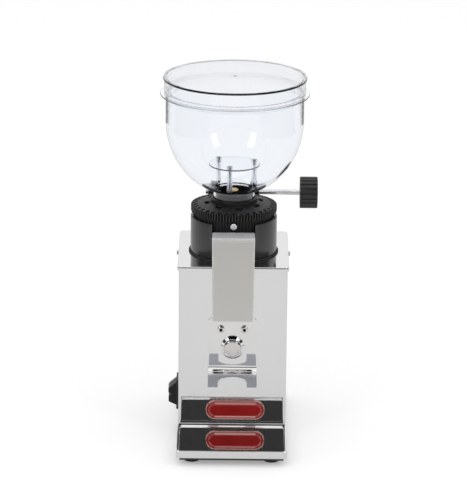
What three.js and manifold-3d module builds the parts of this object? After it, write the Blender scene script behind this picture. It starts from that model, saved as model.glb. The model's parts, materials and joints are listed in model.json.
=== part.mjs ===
// Espresso grinder with a clear hopper, a worm-driven grind wheel and a polished steel body.
// Millimetres, +Z up, the front faces -Y. Everything is first placed around the burr axis
// (X = 0, Y = 0) and the whole machine is then moved so that the origin is at the middle of
// the floor that it stands on.

import * as THREE from "three";
import { mergeVertices } from "three/addons/utils/BufferGeometryUtils.js";
import Module from "manifold-3d";

const wasm = await Module();
wasm.setup();

// Driving dimensions

const fit = 0.3;          // gap between two parts that touch
const running = 0.5;      // gap round a part that turns
const overrun = 2;        // how far a cutting tool runs past the face that it cuts
const sheet = 1.2;        // steel sheet of the body, chute and tray

const foot = { radius: 9, tread: 8, height: 4.7, chamfer: 1.5, insetX: 12, insetY: 15.3 };

const base = { thick: 2, inset: 3, frontInset: 3.5, railWidth: 4, railHeight: 5.8, railX: 32 };

const body = { width: 110, depth: 125, burrToFront: 57.5, height: 175.2, corner: 3, flange: 12 };

const cap = { thick: 1.2, skirt: 4.75, wall: 1.2, corner: 4 };

const tray = {
  overhang: 0.5, reach: 78.8, height: 7.6, rim: 2.6, rearRim: 4.6, dish: 1.5, corner: 3, lift: 3.2,
};

const gasket = { radius: 45.9, thick: 1 };

const housing = {
  radius: 44.15, wall: 3.15, height: 36.7, floor: 4.4, rimRound: 1.3,
  spigotRadius: 23.6, spigotLength: 9.1, window: 43.8, sill: 7.4,
};

const shaft = { radius: 4, aboveCone: 7.1 };

const bearing = { radius: 11, height: 6.8, ledge: 2.5 };

const rotor = {
  radius: 38.5, thick: 4, hubRadius: 10, hub: 3,
  vaneInner: 31, vaneThick: 3, vaneHeight: 11, vanes: 3,
};

const burr = { radius: 25, height: 13.4, innerTop: 15.2, innerBottom: 20.3 };

const cone = { radius: 19.3, foot: 3.2, waist: 11.8, waistHeight: 15.7, top: 7.5, height: 28 };

const nose = {
  radius: 5, baseRadius: 7.2, baseHeight: 5.4, neckHeight: 10.8, height: 22.9, dome: 2, thread: 7.4,
};

const carrier = {
  radius: 40.2, height: 12.9, hubRadius: 30, hubDrop: 14, throat: 17.5, spout: 20,
  rib: 0.8, ribs: 72, tipShare: 0.4, rootShare: 0.6,
};

const wheel = {
  radius: 43.9, thick: 6.4, aboveHousing: 4.9, coneRadius: 41, coneRise: 3.4, hubRadius: 24.4,
  toothDepth: 1.4, teeth: 90, tipShare: 0.3, rootShare: 0.46,
};

const notch = { count: 34, ring: 40.6, length: 2.6, width: 1.6, depth: 3 };

const recess = { count: 8, ring: 27.7, length: 7.5, width: 3.6, depth: 3.5, turnShare: 0.25 };

const stop = {
  headRadius: 3.75, headLength: 3.4, shank: 1.9, length: 6, below: 5.6, socket: 1.9, socketDepth: 2,
};

const neckRing = { inner: 21.3, outer: 23.5, height: 14.1 };

const hopper = {
  radius: 70.1, wall: 2.2, neck: 21, neckWall: 1.8, straightStart: 94.8, depth: 77.2,
  height: 123.2, flangeRadius: 75.6, flangeThick: 1.2,
};

const lid = {
  radius: 72.75, thick: 2.2, skirt: 71.6, wall: 2, height: 16.7, plugRadius: 67.6, plugDepth: 5.7,
};

const guard = {
  radius: 26.1, thick: 2.2, top: 49.2, postRing: 21.5, post: 2.75, cap: 3.15, capHeight: 2.6,
  bore: 1.65, foot: 25.2, firstAngle: -102, posts: 3,
};

const pin = { radius: 1.35, bottom: 23, seat: 0.3, recess: 0.2 };

const worm = {
  radius: 5.5, core: 4, shaft: 2.75, engage: 0.9, turns: 8, collar: 17.7, bore: 2.95,
  tipWidth: 0.7, rootWidth: 1.3, leftEnd: 29.5, rise: 2,
};

const ear = {
  inner: 18, thick: 8, depth: 8.5, above: 5.2, baseThick: 4, baseDepth: 12.5, baseAhead: 2.1,
};

const clip = { radius: 5, thick: 1.2 };

const knob = {
  radius: 16.4, length: 18.4, start: 68.2, boreDepth: 12.5,
  rib: 0.9, ribs: 20, tipShare: 0.4, rootShare: 0.7,
};

const chute = {
  topWidth: 43.2, bottomWidth: 41.3, belowRim: 6.1, length: 81.2, front: 6.5, lean: 20,
  floorAbove: 4, gap: 3.9,
};

const fork = {
  width: 49.2, thick: 2.5, belowChute: 3.3, height: 59.8, chamfer: 4.2, plate: 2.4, reach: 50.7, bend: 6,
  slot: 29, slotRoot: 19.2, tipRise: 0.7, tipLength: 2.4, tipWidth: 6,
};

const forkScrew = {
  spread: 11.9, down: 12.8, head: 3.8, headLength: 3.2, shank: 2, length: 10,
  socket: 1.6, socketDepth: 1.8, topShare: 0.75,
};

const button = {
  down: 32.2, radius: 8.6, stand: 7, travel: 3, length: 12.5, edge: 1.1, pin: 2,
  bezel: 12.15, bezelDepth: 3.4, rimShare: 0.35, barrel: 10.3, barrelLength: 10, endWall: 1,
  springOuter: 5.2, springWall: 1, springLength: 3.2,
};

const microswitch = { width: 20, height: 10, depth: 7.5, leg: 4, legX: 8 };

const rocker = {
  plateY: 25, plateZ: 32, plateThick: 2, behindFront: 25.5, above: 34.4, corner: 1.5,
  bodyY: 21.6, bodyZ: 29.6, bodyDepth: 15, pocketDepth: 11,
  keyY: 18, keyHalf: 13, keyRound: 6, pivotIn: 1, upperReach: 10.2, lowerReach: 10, notchReach: 6.8,
};

// The key's face from its upper to its lower end: shares of a reach and of the key's half height
const upperFaceShares = [[0, 1], [0.2, 0.96], [0.88, 0.5], [1, 0.37], [1, 0.08]];
const notchShare = -0.08;
const lowerFaceShares = [[1, -0.25], [1, -0.68], [0.3, -0.93], [0, -1]];

const badge = { width: 60.2, height: 20.6, x: 3.3, lowShare: 0.1352, plate: 1.1, dome: 1, inset: 2.2 };

const sideScrew = { down: 1.7, head: 2.5, headLength: 1.5, shank: 1.25, length: 3 };

const cover = {
  thick: 1.2, gap: 0.4,
  slotLength: 34, slotHeight: 3, slotPitch: 8, slotRows: 6, slotDown: 86.5, slotX: 22,
};

const coverScrew = {
  fromSide: 6.5, low: 8.5, high: 10, head: 3.2, headLength: 1.8, shank: 1.3, length: 5,
};

const inlet = { x: 25, above: 22.7, flange: 10, flangeThick: 3.5, barrel: 7.9, length: 10, bore: 4 };

const motor = {
  width: 76, bore: 24, upperLeg: 26.5, stackHeight: 46, lowerLeg: 20, corner: 9,
  bracketOver: 1, bracketThick: 6, legWidth: 12, hubRadius: 14, hubDrop: 8,
};

const winding = { inner: 25, outer: 34.5, upper: 16, lower: 15, round: 4 };

const motorRotor = { radius: 23.4, over: 2 };

const motorBolt = { spread: 32, radius: 2, head: 3.8, headLength: 3, length: 100 };

const capacitor = { radius: 14, length: 56, fromRear: 27.5, round: 2 };

const terminals = {
  width: 34, depth: 18, height: 15, x: -26, y: -14, ways: 3, way: 2, wayDepth: 4,
};

const fineSides = 40;
const mediumSides = 20;
const smallSides = 12;
const buttonSides = 28;
const cornerSteps = 3;
const roundingSteps = 6;
const hexagonSides = 6;

// Heights and places that follow from them

const baseBottom = foot.height + fit;
const baseTop = baseBottom + base.thick;
const bodyBottom = baseTop + fit;
const bodyTop = bodyBottom + body.height;
const bodyFront = -body.burrToFront;
const bodyRear = bodyFront + body.depth;
const bodySide = body.width / 2;
const trayFront = bodyFront - tray.reach;
const trayBottom = baseBottom + tray.lift;
const capTop = bodyTop + fit + cap.thick;
const capSide = bodySide + fit + cap.wall;
const capFront = bodyFront - fit - cap.wall;
const capRear = bodyRear + fit + cap.wall;
const housingBase = capTop + fit + gasket.thick + fit;
const housingTop = housingBase + housing.height;
const housingInner = housing.radius - housing.wall;
const spigotHole = housing.spigotRadius + fit;
const shaftBore = shaft.radius + fit;
const bearingBore = bearing.radius + fit;
const stackTop = bodyTop - motor.bracketThick - motor.upperLeg;
const stackBottom = stackTop - motor.stackHeight;
const lowerPlateTop = stackBottom - fit - motor.lowerLeg;
const lowerPlateBottom = lowerPlateTop - motor.bracketThick;
const hubBottom = lowerPlateBottom - motor.hubDrop;
const rotorBottom = housingBase + housing.floor + running;
const coneBottom = rotorBottom + rotor.thick + rotor.hub + fit;
const coneTop = coneBottom + cone.height;
const shaftTop = coneTop + shaft.aboveCone;
const shaftBottom = hubBottom + fit;
const wheelBottom = housingTop + wheel.aboveHousing;
const wheelBore = neckRing.outer + fit;
const wormY = wheel.radius - worm.engage + worm.radius;
const wormZ = wheelBottom + wheel.thick / 2 + worm.rise;
const neckInner = hopper.neck - hopper.neckWall;
const flangeBack = bodyFront - fit;
const flangeFront = flangeBack - fork.thick;
const chuteTop = housingTop - chute.belowRim;
const chuteBottom = chuteTop - chute.length;
const flangeTop = chuteBottom - fork.belowChute;
const bearingPocket = bearing.height + fit;
const rockerY = bodyFront + rocker.behindFront;
const rockerZ = bodyBottom + rocker.above;
const trayTop = trayBottom + tray.height;
const forkBottom = flangeTop - fork.height;
const badgeBottom = trayTop + badge.lowShare * (forkBottom - trayTop - badge.height);
const badgeZ = badgeBottom + badge.height / 2;
const inletZ = bodyBottom + inlet.above;
const lidBottom = hopper.height + fit;

// Geometry helpers

const weldDistance = 1e-4;

/** Merges equal corners and drops the faces that have no area left. */
function welded(geometry) {
  const bare = geometry.clone();
  bare.deleteAttribute("normal");
  bare.deleteAttribute("uv");
  const merged = mergeVertices(bare, weldDistance);
  const corners = merged.index.array;
  const kept = [];
  for (let i = 0; i < corners.length; i += 3) {
    const [a, b, c] = [corners[i], corners[i + 1], corners[i + 2]];
    if (a !== b && b !== c && c !== a) kept.push(a, b, c);
  }
  merged.setIndex(kept);
  return merged;
}

/** Turns a closed geometry into a solid for joining and cutting. */
function solidOf(geometry) {
  const shape = welded(geometry);
  const vertProperties = shape.attributes.position.array;
  const triVerts = new Uint32Array(shape.index.array);
  return new wasm.Manifold(new wasm.Mesh({ numProp: 3, vertProperties, triVerts }));
}

/** Turns a solid back into a geometry. */
function geometryOf(solid) {
  const mesh = solid.getMesh();
  const geometry = new THREE.BufferGeometry();
  geometry.setAttribute("position", new THREE.BufferAttribute(mesh.vertProperties, 3));
  geometry.setIndex(new THREE.BufferAttribute(mesh.triVerts, 1));
  return geometry;
}

/** Joins geometries that overlap into one body. */
function joined(...geometries) {
  return geometryOf(geometries.map(solidOf).reduce((whole, part) => whole.add(part)));
}

/** Cuts every tool out of the first geometry. */
function cut(stock, ...tools) {
  return geometryOf(tools.map(solidOf).reduce((whole, tool) => whole.subtract(tool), solidOf(stock)));
}

/** Points of a circle, counter-clockwise. */
function circle(x, y, radius, sides = mediumSides) {
  return Array.from({ length: sides }, (_, i) => {
    const angle = (2 * Math.PI * i) / sides;
    return new THREE.Vector2(x + radius * Math.cos(angle), y + radius * Math.sin(angle));
  });
}

/** Points of a rectangle whose corners are rounded, counter-clockwise. */
function roundedRectangle(left, bottom, right, top, radius) {
  const centres = [
    [right - radius, top - radius], [left + radius, top - radius],
    [left + radius, bottom + radius], [right - radius, bottom + radius],
  ];
  return centres.flatMap(([x, y], corner) => Array.from({ length: cornerSteps + 1 }, (_, i) => {
    const angle = (Math.PI / 2) * (corner + i / cornerSteps);
    return new THREE.Vector2(x + radius * Math.cos(angle), y + radius * Math.sin(angle));
  }));
}

/** Points of a wheel's outline: teeth of a depth, each with a share of the pitch at tip and root. */
function toothedOutline(radius, depth, count, tipShare, rootShare) {
  const pitch = (2 * Math.PI) / count;
  const root = radius - depth;
  const corners = [[-rootShare, root], [-tipShare, radius], [tipShare, radius], [rootShare, root]];
  return Array.from({ length: count }, (_, tooth) => corners.map(([share, reach]) => {
    const angle = pitch * (tooth + share / 2);
    return new THREE.Vector2(reach * Math.cos(angle), reach * Math.sin(angle));
  })).flat();
}

const axisBasis = {
  x: [new THREE.Vector3(0, 1, 0), new THREE.Vector3(0, 0, 1), new THREE.Vector3(1, 0, 0)],
  y: [new THREE.Vector3(1, 0, 0), new THREE.Vector3(0, 0, 1), new THREE.Vector3(0, -1, 0)],
  z: [new THREE.Vector3(1, 0, 0), new THREE.Vector3(0, 1, 0), new THREE.Vector3(0, 0, 1)],
};

/** Carries an outline straight along an axis from low to high. An outline along x is drawn in
 *  y and z, one along y in x and z, one along z in x and y. */
function straight(axis, outline, low, high, holes = []) {
  const shape = new THREE.Shape(outline);
  holes.forEach((hole) => shape.holes.push(new THREE.Path(hole)));
  const geometry = new THREE.ExtrudeGeometry(shape, { depth: high - low, bevelEnabled: false });
  geometry.applyMatrix4(new THREE.Matrix4().makeBasis(...axisBasis[axis]));
  const start = axis === "y" ? high : low;
  geometry.translate(axis === "x" ? start : 0, axis === "y" ? start : 0, axis === "z" ? start : 0);
  return geometry;
}

/** A round bar along an axis, centred on the two other coordinates. */
function bar(axis, radius, low, high, [u, v] = [0, 0], sides = mediumSides) {
  return straight(axis, circle(u, v, radius, sides), low, high);
}

/** A box between two opposite corners. */
function box([x0, y0, z0], [x1, y1, z1]) {
  const geometry = new THREE.BoxGeometry(x1 - x0, y1 - y0, z1 - z0);
  geometry.translate((x0 + x1) / 2, (y0 + y1) / 2, (z0 + z1) / 2);
  return geometry;
}

/** Turns a profile of [radius, height] points about the z axis. */
function turned(profile, sides = fineSides, closeOnItself = true) {
  const points = profile.map(([radius, height]) => new THREE.Vector2(radius, height));
  if (THREE.ShapeUtils.area(points) < 0) points.reverse();
  if (closeOnItself) points.push(points[0].clone());
  return new THREE.LatheGeometry(points, sides).rotateX(Math.PI / 2);
}

/** Turns a profile that starts and ends on the axis. */
function turnedSolid(profile, sides = fineSides) {
  return turned(profile, sides, false);
}

/** Lays a geometry made about z along the -y direction, so that its top faces the front. */
function facingFront(geometry) {
  return geometry.rotateX(Math.PI / 2);
}

// Materials

function finish(colour, roughness, metalness, opacity = 1) {
  const transparent = opacity < 1;
  return new THREE.MeshStandardMaterial({ color: colour, roughness, metalness, opacity, transparent });
}

const polishedSteel = finish(0xd2d2cf, 0.12, 1);
const satinSteel = finish(0xadaba6, 0.35, 0.6);
const chrome = finish(0xdfe1e4, 0.06, 1);
const blackCast = finish(0x2c2c2c, 0.4, 0.1);
const blackPlastic = finish(0x161616, 0.35, 0);
const clearPlastic = finish(0xe6e8f2, 0.05, 0, 0.35);
const enamelRed = finish(0xb01818, 0.25, 0);
const rubber = finish(0x141414, 0.85, 0);
const toolSteel = finish(0x8d8d8f, 0.35, 1);
const brass = finish(0xb08d3c, 0.3, 1);
const copper = finish(0xa8622f, 0.45, 0.9);
const zincSteel = finish(0xa3a5a8, 0.45, 0.9);
const castAluminium = finish(0x9b9c9e, 0.5, 0.9);

// Scene graph

const machine = new THREE.Group();

function group(x = 0, y = 0, z = 0) {
  const branch = new THREE.Group();
  branch.position.set(x, y, z);
  machine.add(branch);
  return branch;
}

function add(parent, name, geometry, material, x = 0, y = 0, z = 0) {
  const mesh = new THREE.Mesh(geometry, material);
  mesh.name = name;
  mesh.position.set(x, y, z);
  parent.add(mesh);
  return mesh;
}

// Stand: feet, base plate with its tray rails, and the grounds tray

function makeStand() {
  const stand = group();
  const footProfile = [
    [0, 0], [foot.tread, 0], [foot.radius, foot.chamfer], [foot.radius, foot.height], [0, foot.height],
  ];
  const baseSide = bodySide - base.inset;
  const baseFront = trayFront + base.frontInset;
  const baseRear = bodyRear - base.inset;
  const footX = baseSide - foot.insetX;
  const places = {
    foot_front_left: [-footX, baseFront + foot.insetY],
    foot_front_right: [footX, baseFront + foot.insetY],
    foot_rear_left: [-footX, baseRear - foot.insetY],
    foot_rear_right: [footX, baseRear - foot.insetY],
  };
  for (const [name, [x, y]] of Object.entries(places)) {
    add(stand, name, welded(turnedSolid(footProfile, mediumSides)), rubber, x, y);
  }

  const plate = box([-baseSide, baseFront, baseBottom], [baseSide, baseRear, baseTop]);
  const rails = [-1, 1].map((side) => box(
    [side * base.railX - base.railWidth / 2, baseFront, baseBottom],
    [side * base.railX + base.railWidth / 2, bodyFront - fit, baseTop + base.railHeight],
  ));
  add(stand, "base_plate", joined(plate, ...rails), blackCast);
}

function makeTray() {
  const half = bodySide + tray.overhang;
  const rear = bodyFront - fit;
  const top = trayTop;
  const floorTop = top - tray.dish;
  const floorUnder = floorTop - sheet;
  const outline = roundedRectangle(-half, trayFront, half, rear, tray.corner);
  const outer = straight("z", outline, trayBottom, top);
  const dish = straight("z", roundedRectangle(
    -half + tray.rim, trayFront + tray.rim, half - tray.rim, rear - tray.rearRim, tray.corner,
  ), floorTop, top + overrun);
  const under = box(
    [-half + sheet, trayFront + sheet, trayBottom - overrun],
    [half - sheet, rear + overrun, floorUnder],
  );
  add(group(), "grounds_tray", cut(outer, dish, under), polishedSteel);
}

// Body: shell, rear cover, top plate, badge and their screws

function makeShell() {
  const inside = bodySide - sheet;
  const rear = bodyRear - cover.thick - fit;
  const shellOutline = (side, front, back, corner) => {
    const points = roundedRectangle(-side, front, side, back + corner, corner);
    return points.map((point) => point.set(point.x, Math.min(point.y, back)));
  };
  const outer = straight("z", shellOutline(bodySide, bodyFront, rear, body.corner), bodyBottom, bodyTop);
  const hollow = straight("z",
    roundedRectangle(-inside, bodyFront + sheet, inside, rear - sheet, body.corner - sheet),
    bodyBottom - overrun, bodyTop + overrun);
  const mouth = box(
    [-bodySide + body.flange, 0, bodyBottom - overrun],
    [bodySide - body.flange, bodyRear + overrun, bodyTop + overrun],
  );
  const holes = [-1, 1].flatMap((side) => [
    bar("y", forkScrew.shank + fit, bodyFront - overrun, bodyFront + sheet + overrun,
      [side * forkScrew.spread, flangeTop - forkScrew.down], smallSides),
    bar("x", sideScrew.shank + fit / 2, side * bodySide - overrun, side * bodySide + overrun,
      [0, bodyTop - sideScrew.down], smallSides),
  ]);
  const flangeHoles = coverScrewPlaces().map(([x, z]) => (
    bar("y", coverScrew.shank + fit, rear - sheet - overrun, rear + overrun, [x, z], smallSides)
  ));
  const buttonHole = bar("y", button.barrel + fit, bodyFront - overrun, bodyFront + sheet + overrun,
    [0, flangeTop - button.down]);
  const rockerHole = box(
    [-bodySide - overrun, rockerY - rocker.bodyY / 2 - fit, rockerZ - rocker.bodyZ / 2 - fit],
    [-bodySide + sheet + overrun, rockerY + rocker.bodyY / 2 + fit, rockerZ + rocker.bodyZ / 2 + fit],
  );
  add(group(), "body_shell", cut(outer, hollow, mouth, ...holes, ...flangeHoles, buttonHole, rockerHole),
    polishedSteel);
}

function coverScrewPlaces() {
  const x = bodySide - coverScrew.fromSide;
  const low = bodyBottom + coverScrew.low;
  const high = bodyTop - coverScrew.high;
  return [[-x, low], [x, low], [-x, high], [x, high]];
}

function makeRearCover() {
  const side = bodySide - cover.gap;
  const front = bodyRear - cover.thick;
  const outline = roundedRectangle(-side, bodyBottom, side, capTop - cap.skirt - fit, sheet);
  const plate = straight("y", outline, front, bodyRear);
  const slots = [];
  for (let row = 0; row < cover.slotRows; row += 1) {
    for (const column of [-1, 1]) {
      const x = column * cover.slotX;
      const z = bodyTop - cover.slotDown + row * cover.slotPitch;
      slots.push(box(
        [x - cover.slotLength / 2, front - overrun, z],
        [x + cover.slotLength / 2, bodyRear + overrun, z + cover.slotHeight],
      ));
    }
  }
  const screwHoles = coverScrewPlaces().map(([x, z]) => (
    bar("y", coverScrew.shank + fit, front - overrun, bodyRear + overrun, [x, z], smallSides)
  ));
  const inletHole = bar("y", inlet.barrel + fit, front - overrun, bodyRear + overrun, [inlet.x, inletZ]);
  const back = group();
  add(back, "rear_cover", cut(plate, ...slots, ...screwHoles, inletHole), polishedSteel);

  coverScrewPlaces().forEach(([x, z], i) => {
    const seat = bodyRear + fit;
    const head = bar("y", coverScrew.head, seat, seat + coverScrew.headLength, [x, z], smallSides);
    const shank = bar("y", coverScrew.shank, seat - coverScrew.length, seat + coverScrew.headLength / 2,
      [x, z], smallSides);
    add(back, `cover_screw_${i + 1}`, joined(head, shank), zincSteel);
  });

  const inletFace = bodyRear + fit;
  const flange = bar("y", inlet.flange, inletFace, inletFace + inlet.flangeThick, [inlet.x, inletZ]);
  const barrel = bar("y", inlet.barrel, inletFace - inlet.length, inletFace + inlet.flangeThick / 2,
    [inlet.x, inletZ]);
  const bore = bar("y", inlet.bore, inletFace - inlet.length - overrun,
    inletFace + inlet.flangeThick + overrun, [inlet.x, inletZ], smallSides);
  add(back, "cord_inlet", cut(joined(flange, barrel), bore), blackPlastic);
}

function makeTopPlate() {
  const bottom = capTop - cap.skirt;
  const outline = (inset) => roundedRectangle(
    -capSide + inset, capFront + inset, capSide - inset, capRear - inset, cap.corner - inset,
  );
  const outer = straight("z", outline(0), bottom, capTop);
  const pocket = straight("z", outline(cap.wall), bottom - overrun, capTop - cap.thick);
  const hole = bar("z", spigotHole, bottom - overrun, capTop + overrun, [0, 0], fineSides);
  const screwZ = bodyTop - sideScrew.down;
  const screwHoles = [-1, 1].map((side) => (
    bar("x", sideScrew.shank + fit / 2, side * capSide - overrun, side * capSide + overrun,
      [0, screwZ], smallSides)
  ));
  const top = group();
  add(top, "top_plate", cut(outer, pocket, hole, ...screwHoles), polishedSteel);

  for (const [name, side] of [["plate_screw_left", -1], ["plate_screw_right", 1]]) {
    const seat = capSide + fit;
    const end = -sideScrew.length - cap.wall;
    const profile = [
      [0, end], [sideScrew.shank, end], [sideScrew.shank, 0],
      [sideScrew.head, 0], [sideScrew.head, sideScrew.headLength / 2],
      [sideScrew.head / 2, sideScrew.headLength], [0, sideScrew.headLength],
    ];
    const screw = turnedSolid(profile, smallSides).rotateY((side * Math.PI) / 2);
    add(top, name, welded(screw), zincSteel, side * seat, 0, screwZ);
  }
}

function makeBadge() {
  const stadium = (inset) => {
    const [across, up] = [badge.width / 2 - inset, badge.height / 2 - inset];
    return roundedRectangle(-across, -up, across, up, up);
  };
  const plate = straight("y", stadium(0), -badge.plate, 0);
  const dome = straight("y", stadium(badge.inset), -badge.plate - badge.dome, 0);
  add(group(), "badge_plate", joined(plate, dome), enamelRed, badge.x, bodyFront - fit, badgeZ);
}

// Grinding head: gasket, housing, rotor, burrs and their shaft

function makeHousing() {
  const head = group(0, 0, housingBase);
  const gasketProfile = [
    [spigotHole, -fit - gasket.thick], [gasket.radius, -fit - gasket.thick], [gasket.radius, -fit],
    [spigotHole, -fit],
  ];
  add(head, "housing_gasket", welded(turned(gasketProfile)), rubber);

  const bearingRoof = -housing.spigotLength + bearingPocket;
  const innerBore = bearing.radius - bearing.ledge;
  const profile = [
    [innerBore, bearingRoof], [bearingBore, bearingRoof], [bearingBore, -housing.spigotLength],
    [housing.spigotRadius, -housing.spigotLength], [housing.spigotRadius, 0], [housing.radius, 0],
    [housing.radius, housing.height - housing.rimRound],
    [housing.radius - housing.rimRound, housing.height], [housingInner, housing.height],
    [housingInner, housing.floor], [innerBore, housing.floor],
  ];
  const window = box(
    [-housing.window / 2, -housing.radius - overrun, housing.sill],
    [housing.window / 2, -housingInner / 2, housing.height + overrun],
  );
  add(head, "grinder_housing", cut(turned(profile), window), blackCast);

  const bearingProfile = [
    [shaftBore, 0], [bearing.radius, 0], [bearing.radius, bearing.height], [shaftBore, bearing.height],
  ];
  add(head, "upper_bearing", welded(turned(bearingProfile, mediumSides)), toolSteel,
    0, 0, -housing.spigotLength);
}

function makeRotor() {
  const drive = group();
  const discTop = rotorBottom + rotor.thick;
  const disc = turned([
    [shaftBore, rotorBottom], [rotor.radius, rotorBottom], [rotor.radius, discTop],
    [rotor.hubRadius, discTop], [rotor.hubRadius, discTop + rotor.hub], [shaftBore, discTop + rotor.hub],
  ]);
  const vanes = Array.from({ length: rotor.vanes }, (_, i) => box(
    [rotor.vaneInner, -rotor.vaneThick / 2, rotorBottom + rotor.thick / 2],
    [rotor.radius - running, rotor.vaneThick / 2, discTop + rotor.vaneHeight],
  ).rotateZ((2 * Math.PI * i) / rotor.vanes));
  add(drive, "burr_rotor", joined(disc, ...vanes), castAluminium);

  const coneProfile = [
    [shaftBore, 0], [cone.radius, 0], [cone.radius, cone.foot], [cone.waist, cone.waistHeight],
    [cone.top, cone.height], [shaftBore, cone.height],
  ];
  add(drive, "inner_burr", welded(turned(coneProfile, mediumSides)), toolSteel, 0, 0, coneBottom);

  const noseProfile = [
    [shaftBore, 0], [nose.baseRadius, 0],
    [nose.baseRadius, nose.baseHeight], [nose.radius, nose.neckHeight],
    [nose.radius, nose.height - nose.dome], [nose.radius - nose.dome, nose.height], [0, nose.height],
    [0, nose.thread], [shaftBore, nose.thread],
  ];
  add(drive, "burr_nut", welded(turned(noseProfile, mediumSides)), brass, 0, 0, coneTop + fit);
  add(drive, "drive_shaft", welded(bar("z", shaft.radius, shaftBottom, shaftTop, [0, 0], smallSides)),
    toolSteel);
}

// Adjuster: ribbed carrier with the outer burr, toothed wheel, stop screw, hopper and guard

function makeAdjuster() {
  const adjuster = group(0, 0, wheelBottom);
  const top = -fit;
  const collarBottom = top - carrier.height;
  const hubBottom = collarBottom - carrier.hubDrop;
  const ribs = straight("z",
    toothedOutline(carrier.radius, carrier.rib, carrier.ribs, carrier.tipShare, carrier.rootShare),
    collarBottom, top);
  const hub = bar("z", carrier.hubRadius, hubBottom, top);
  const spout = bar("z", neckInner - fit, collarBottom, carrier.spout, [0, 0], fineSides);
  const throat = bar("z", carrier.throat, hubBottom - overrun, carrier.spout + overrun, [0, 0], fineSides);
  const seat = bar("z", burr.radius + fit, hubBottom - overrun, collarBottom, [0, 0], fineSides);
  const stopZ = -stop.below;
  const stopHole = bar("y", stop.shank + fit, -carrier.radius - overrun,
    -carrier.radius + stop.length + fit, [0, stopZ], smallSides);
  add(adjuster, "burr_carrier", cut(joined(ribs, hub, spout), throat, seat, stopHole), blackPlastic);

  const burrProfile = [
    [burr.innerBottom, -burr.height], [burr.radius, -burr.height], [burr.radius, 0], [burr.innerTop, 0],
  ];
  add(adjuster, "outer_burr", welded(turned(burrProfile)), toolSteel, 0, 0, collarBottom - fit);

  const headBack = -carrier.radius - fit;
  const head = bar("y", stop.headRadius, headBack - stop.headLength, headBack, [0, stopZ], smallSides);
  const shank = bar("y", stop.shank, headBack - stop.headLength / 2, headBack + stop.length,
    [0, stopZ], smallSides);
  const socket = bar("y", stop.socket, headBack - stop.headLength - overrun,
    headBack - stop.headLength + stop.socketDepth, [0, stopZ], hexagonSides);
  add(adjuster, "stop_screw", cut(joined(head, shank), socket), chrome);

  add(adjuster, "adjusting_wheel", wheelGeometry(), blackPlastic);

  const ringProfile = [
    [neckRing.inner, 0], [neckRing.outer, 0],
    [neckRing.outer, neckRing.height], [neckRing.inner, neckRing.height],
  ];
  add(adjuster, "hopper_collar", welded(turned(ringProfile, mediumSides)), blackPlastic);
  makeHopper(adjuster);
}

function wheelGeometry() {
  const teeth = straight("z",
    toothedOutline(wheel.radius, wheel.toothDepth, wheel.teeth, wheel.tipShare, wheel.rootShare),
    0, wheel.thick);
  const coneSolid = turnedSolid([
    [0, wheel.thick / 2], [wheel.coneRadius, wheel.thick / 2], [wheel.coneRadius, wheel.thick],
    [wheel.hubRadius, wheel.thick + wheel.coneRise], [0, wheel.thick + wheel.coneRise],
  ]);
  const bore = bar("z", wheelBore, -overrun, wheel.thick + wheel.coneRise + overrun, [0, 0], fineSides);
  const above = wheel.thick + wheel.coneRise + overrun;
  const notches = Array.from({ length: notch.count }, (_, i) => box(
    [notch.ring - notch.length / 2, -notch.width / 2, wheel.thick - notch.depth],
    [notch.ring + notch.length / 2, notch.width / 2, above],
  ).rotateZ((2 * Math.PI * i) / notch.count - Math.PI / 2));
  const slope = wheel.coneRise / (wheel.coneRadius - wheel.hubRadius);
  const recessFloor = wheel.thick + slope * (wheel.coneRadius - recess.ring) - recess.depth;
  const [halfWide, halfLong] = [recess.width / 2, recess.length / 2];
  const capsule = roundedRectangle(-halfWide, -halfLong, halfWide, halfLong, halfWide);
  const recesses = Array.from({ length: recess.count }, (_, i) => (
    straight("z", capsule, recessFloor, above)
      .translate(recess.ring, 0, 0)
      .rotateZ((2 * Math.PI * (i + recess.turnShare)) / recess.count - Math.PI / 2)
  ));
  return cut(joined(teeth, coneSolid), bore, ...notches, ...recesses);
}

/** Points of a quarter ellipse from a radius on its bottom out to its widest place. */
function bowlCurve(halfWidth, depth, startRadius, steps = 7) {
  const start = Math.asin(startRadius / halfWidth);
  return Array.from({ length: steps + 1 }, (_, i) => {
    const angle = start + ((Math.PI / 2 - start) * i) / steps;
    return [halfWidth * Math.sin(angle), hopper.straightStart - depth * Math.cos(angle)];
  });
}

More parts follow.
